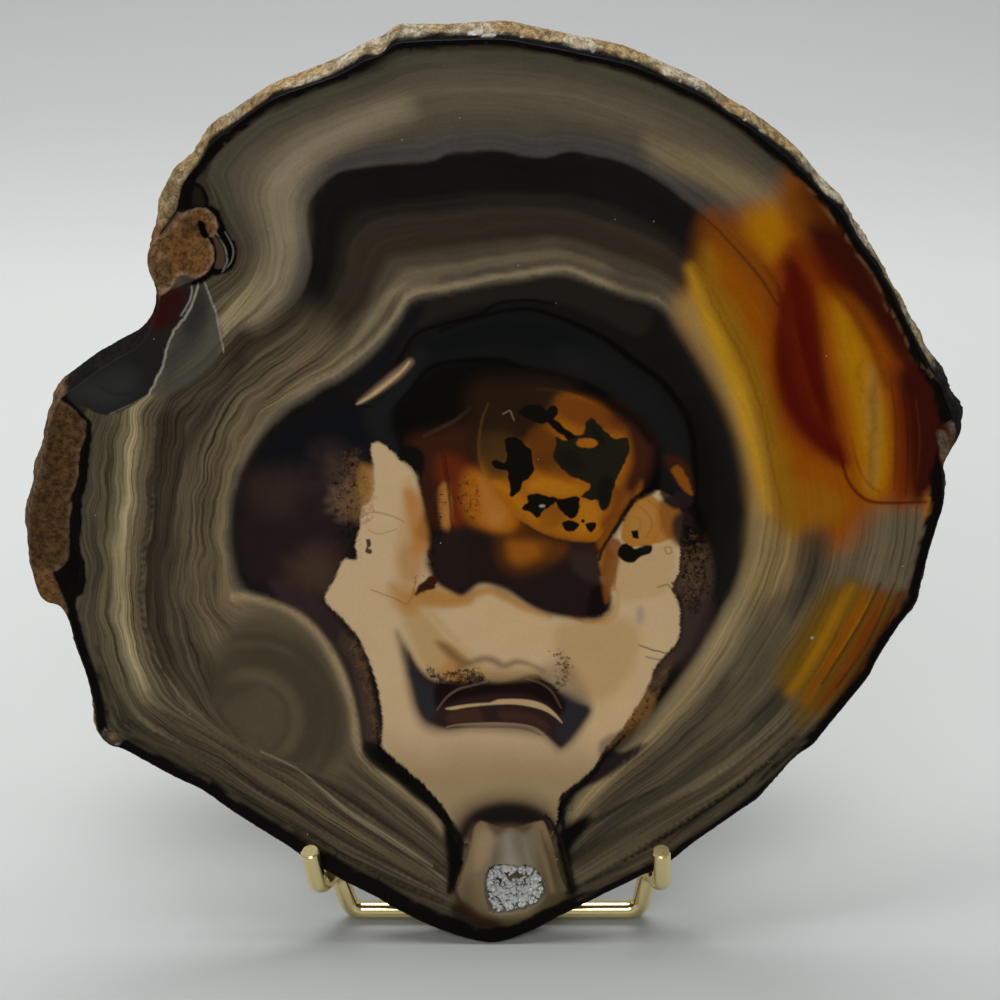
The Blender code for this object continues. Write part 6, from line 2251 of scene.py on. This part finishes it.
def make_floor(material):
    """A pale sheet: flat under the slice, and bent up far away on every side."""
    reaches = list(range(0, FLOOR_FINE_REACH, FLOOR_FINE_STEP))
    reaches += list(range(FLOOR_FINE_REACH, FLOOR_REACH + 1, FLOOR_STEP))
    profile = [(reach, 0.0) for reach in reaches]
    for step in range(1, FLOOR_BEND_STEPS + 1):
        turn = math.radians(90.0 * step / FLOOR_BEND_STEPS)
        profile.append((FLOOR_REACH + FLOOR_BEND * math.sin(turn),
                        FLOOR_BEND * (1.0 - math.cos(turn))))
    profile.append((FLOOR_REACH + FLOOR_BEND, FLOOR_WALL))
    bm = bmesh.new()
    rows = []
    shades = []
    for reach, height in profile:
        row = []
        for step in range(FLOOR_SIDES):
            turn = math.radians(360.0 * step / FLOOR_SIDES)
            across, along = reach * math.sin(turn), reach * math.cos(turn)
            row.append(bm.verts.new((across * MM, along * MM, height * MM)))
            shades.append(floor_shade(across, along))
        rows.append(row)
    join_rings(bm, rows)
    bmesh.ops.reverse_faces(bm, faces=bm.faces[:])
    mesh = bpy.data.meshes.new("floor")
    bm.to_mesh(mesh)
    bm.free()
    write_values(mesh, "shade", np.array(shades))
    mesh.materials.append(material)
    mesh.shade_smooth()
    made = bpy.data.objects.new("floor", mesh)
    bpy.context.scene.collection.objects.link(made)
    return made


def aim(thing, place, target):
    """Place a camera or light, in mm, and point it at a target."""
    thing.location = Vector(place) * MM
    toward = Vector(target) - Vector(place)
    thing.rotation_euler = toward.to_track_quat("-Z", "Y").to_euler()
    bpy.context.scene.collection.objects.link(thing)


def add_light(name, place, target, size, power):
    """Add a rectangular soft light."""
    lamp = bpy.data.lights.new(name, "AREA")
    lamp.shape = "RECTANGLE"
    lamp.size = size[0] * MM
    lamp.size_y = size[1] * MM
    lamp.energy = power
    aim(bpy.data.objects.new(name, lamp), place, target)


def build():
    """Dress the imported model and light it."""
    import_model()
    scene = bpy.context.scene
    scene.view_settings.view_transform = "Standard"

    loop = even_loop(to_slice(FACE_OUTLINE), RIM_POINTS)
    normals = normals_of(loop, True)
    edge = to_picture(loop)
    stone = agate_material()
    for name, back in (("stone_front", False), ("stone_back", True)):
        half = build_half(name, back, loop, normals, edge)
        half.data.materials.append(stone)
        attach(half, "root")
        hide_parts("agate_slice")
    crystals = make_crystals(quartz_material())
    for wire in make_wires(gold_material()):
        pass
    make_floor(sheet_material())

    world = bpy.data.worlds.new("world")
    world.use_nodes = True
    grey = (WORLD_GREY, WORLD_GREY, WORLD_GREY, 1.0)
    world.node_tree.nodes["Background"].inputs[0].default_value = grey
    scene.world = world
    for light in LIGHTS:
        add_light(*light)
    camera = bpy.data.cameras.new("camera")
    camera.lens = CAMERA_LENS
    camera.sensor_width = CAMERA_SENSOR
    camera.clip_start = CAMERA_NEAR
    holder = bpy.data.objects.new("camera", camera)
    aim(holder, CAMERA_PLACE, CAMERA_TARGET)
    scene.camera = holder


build()
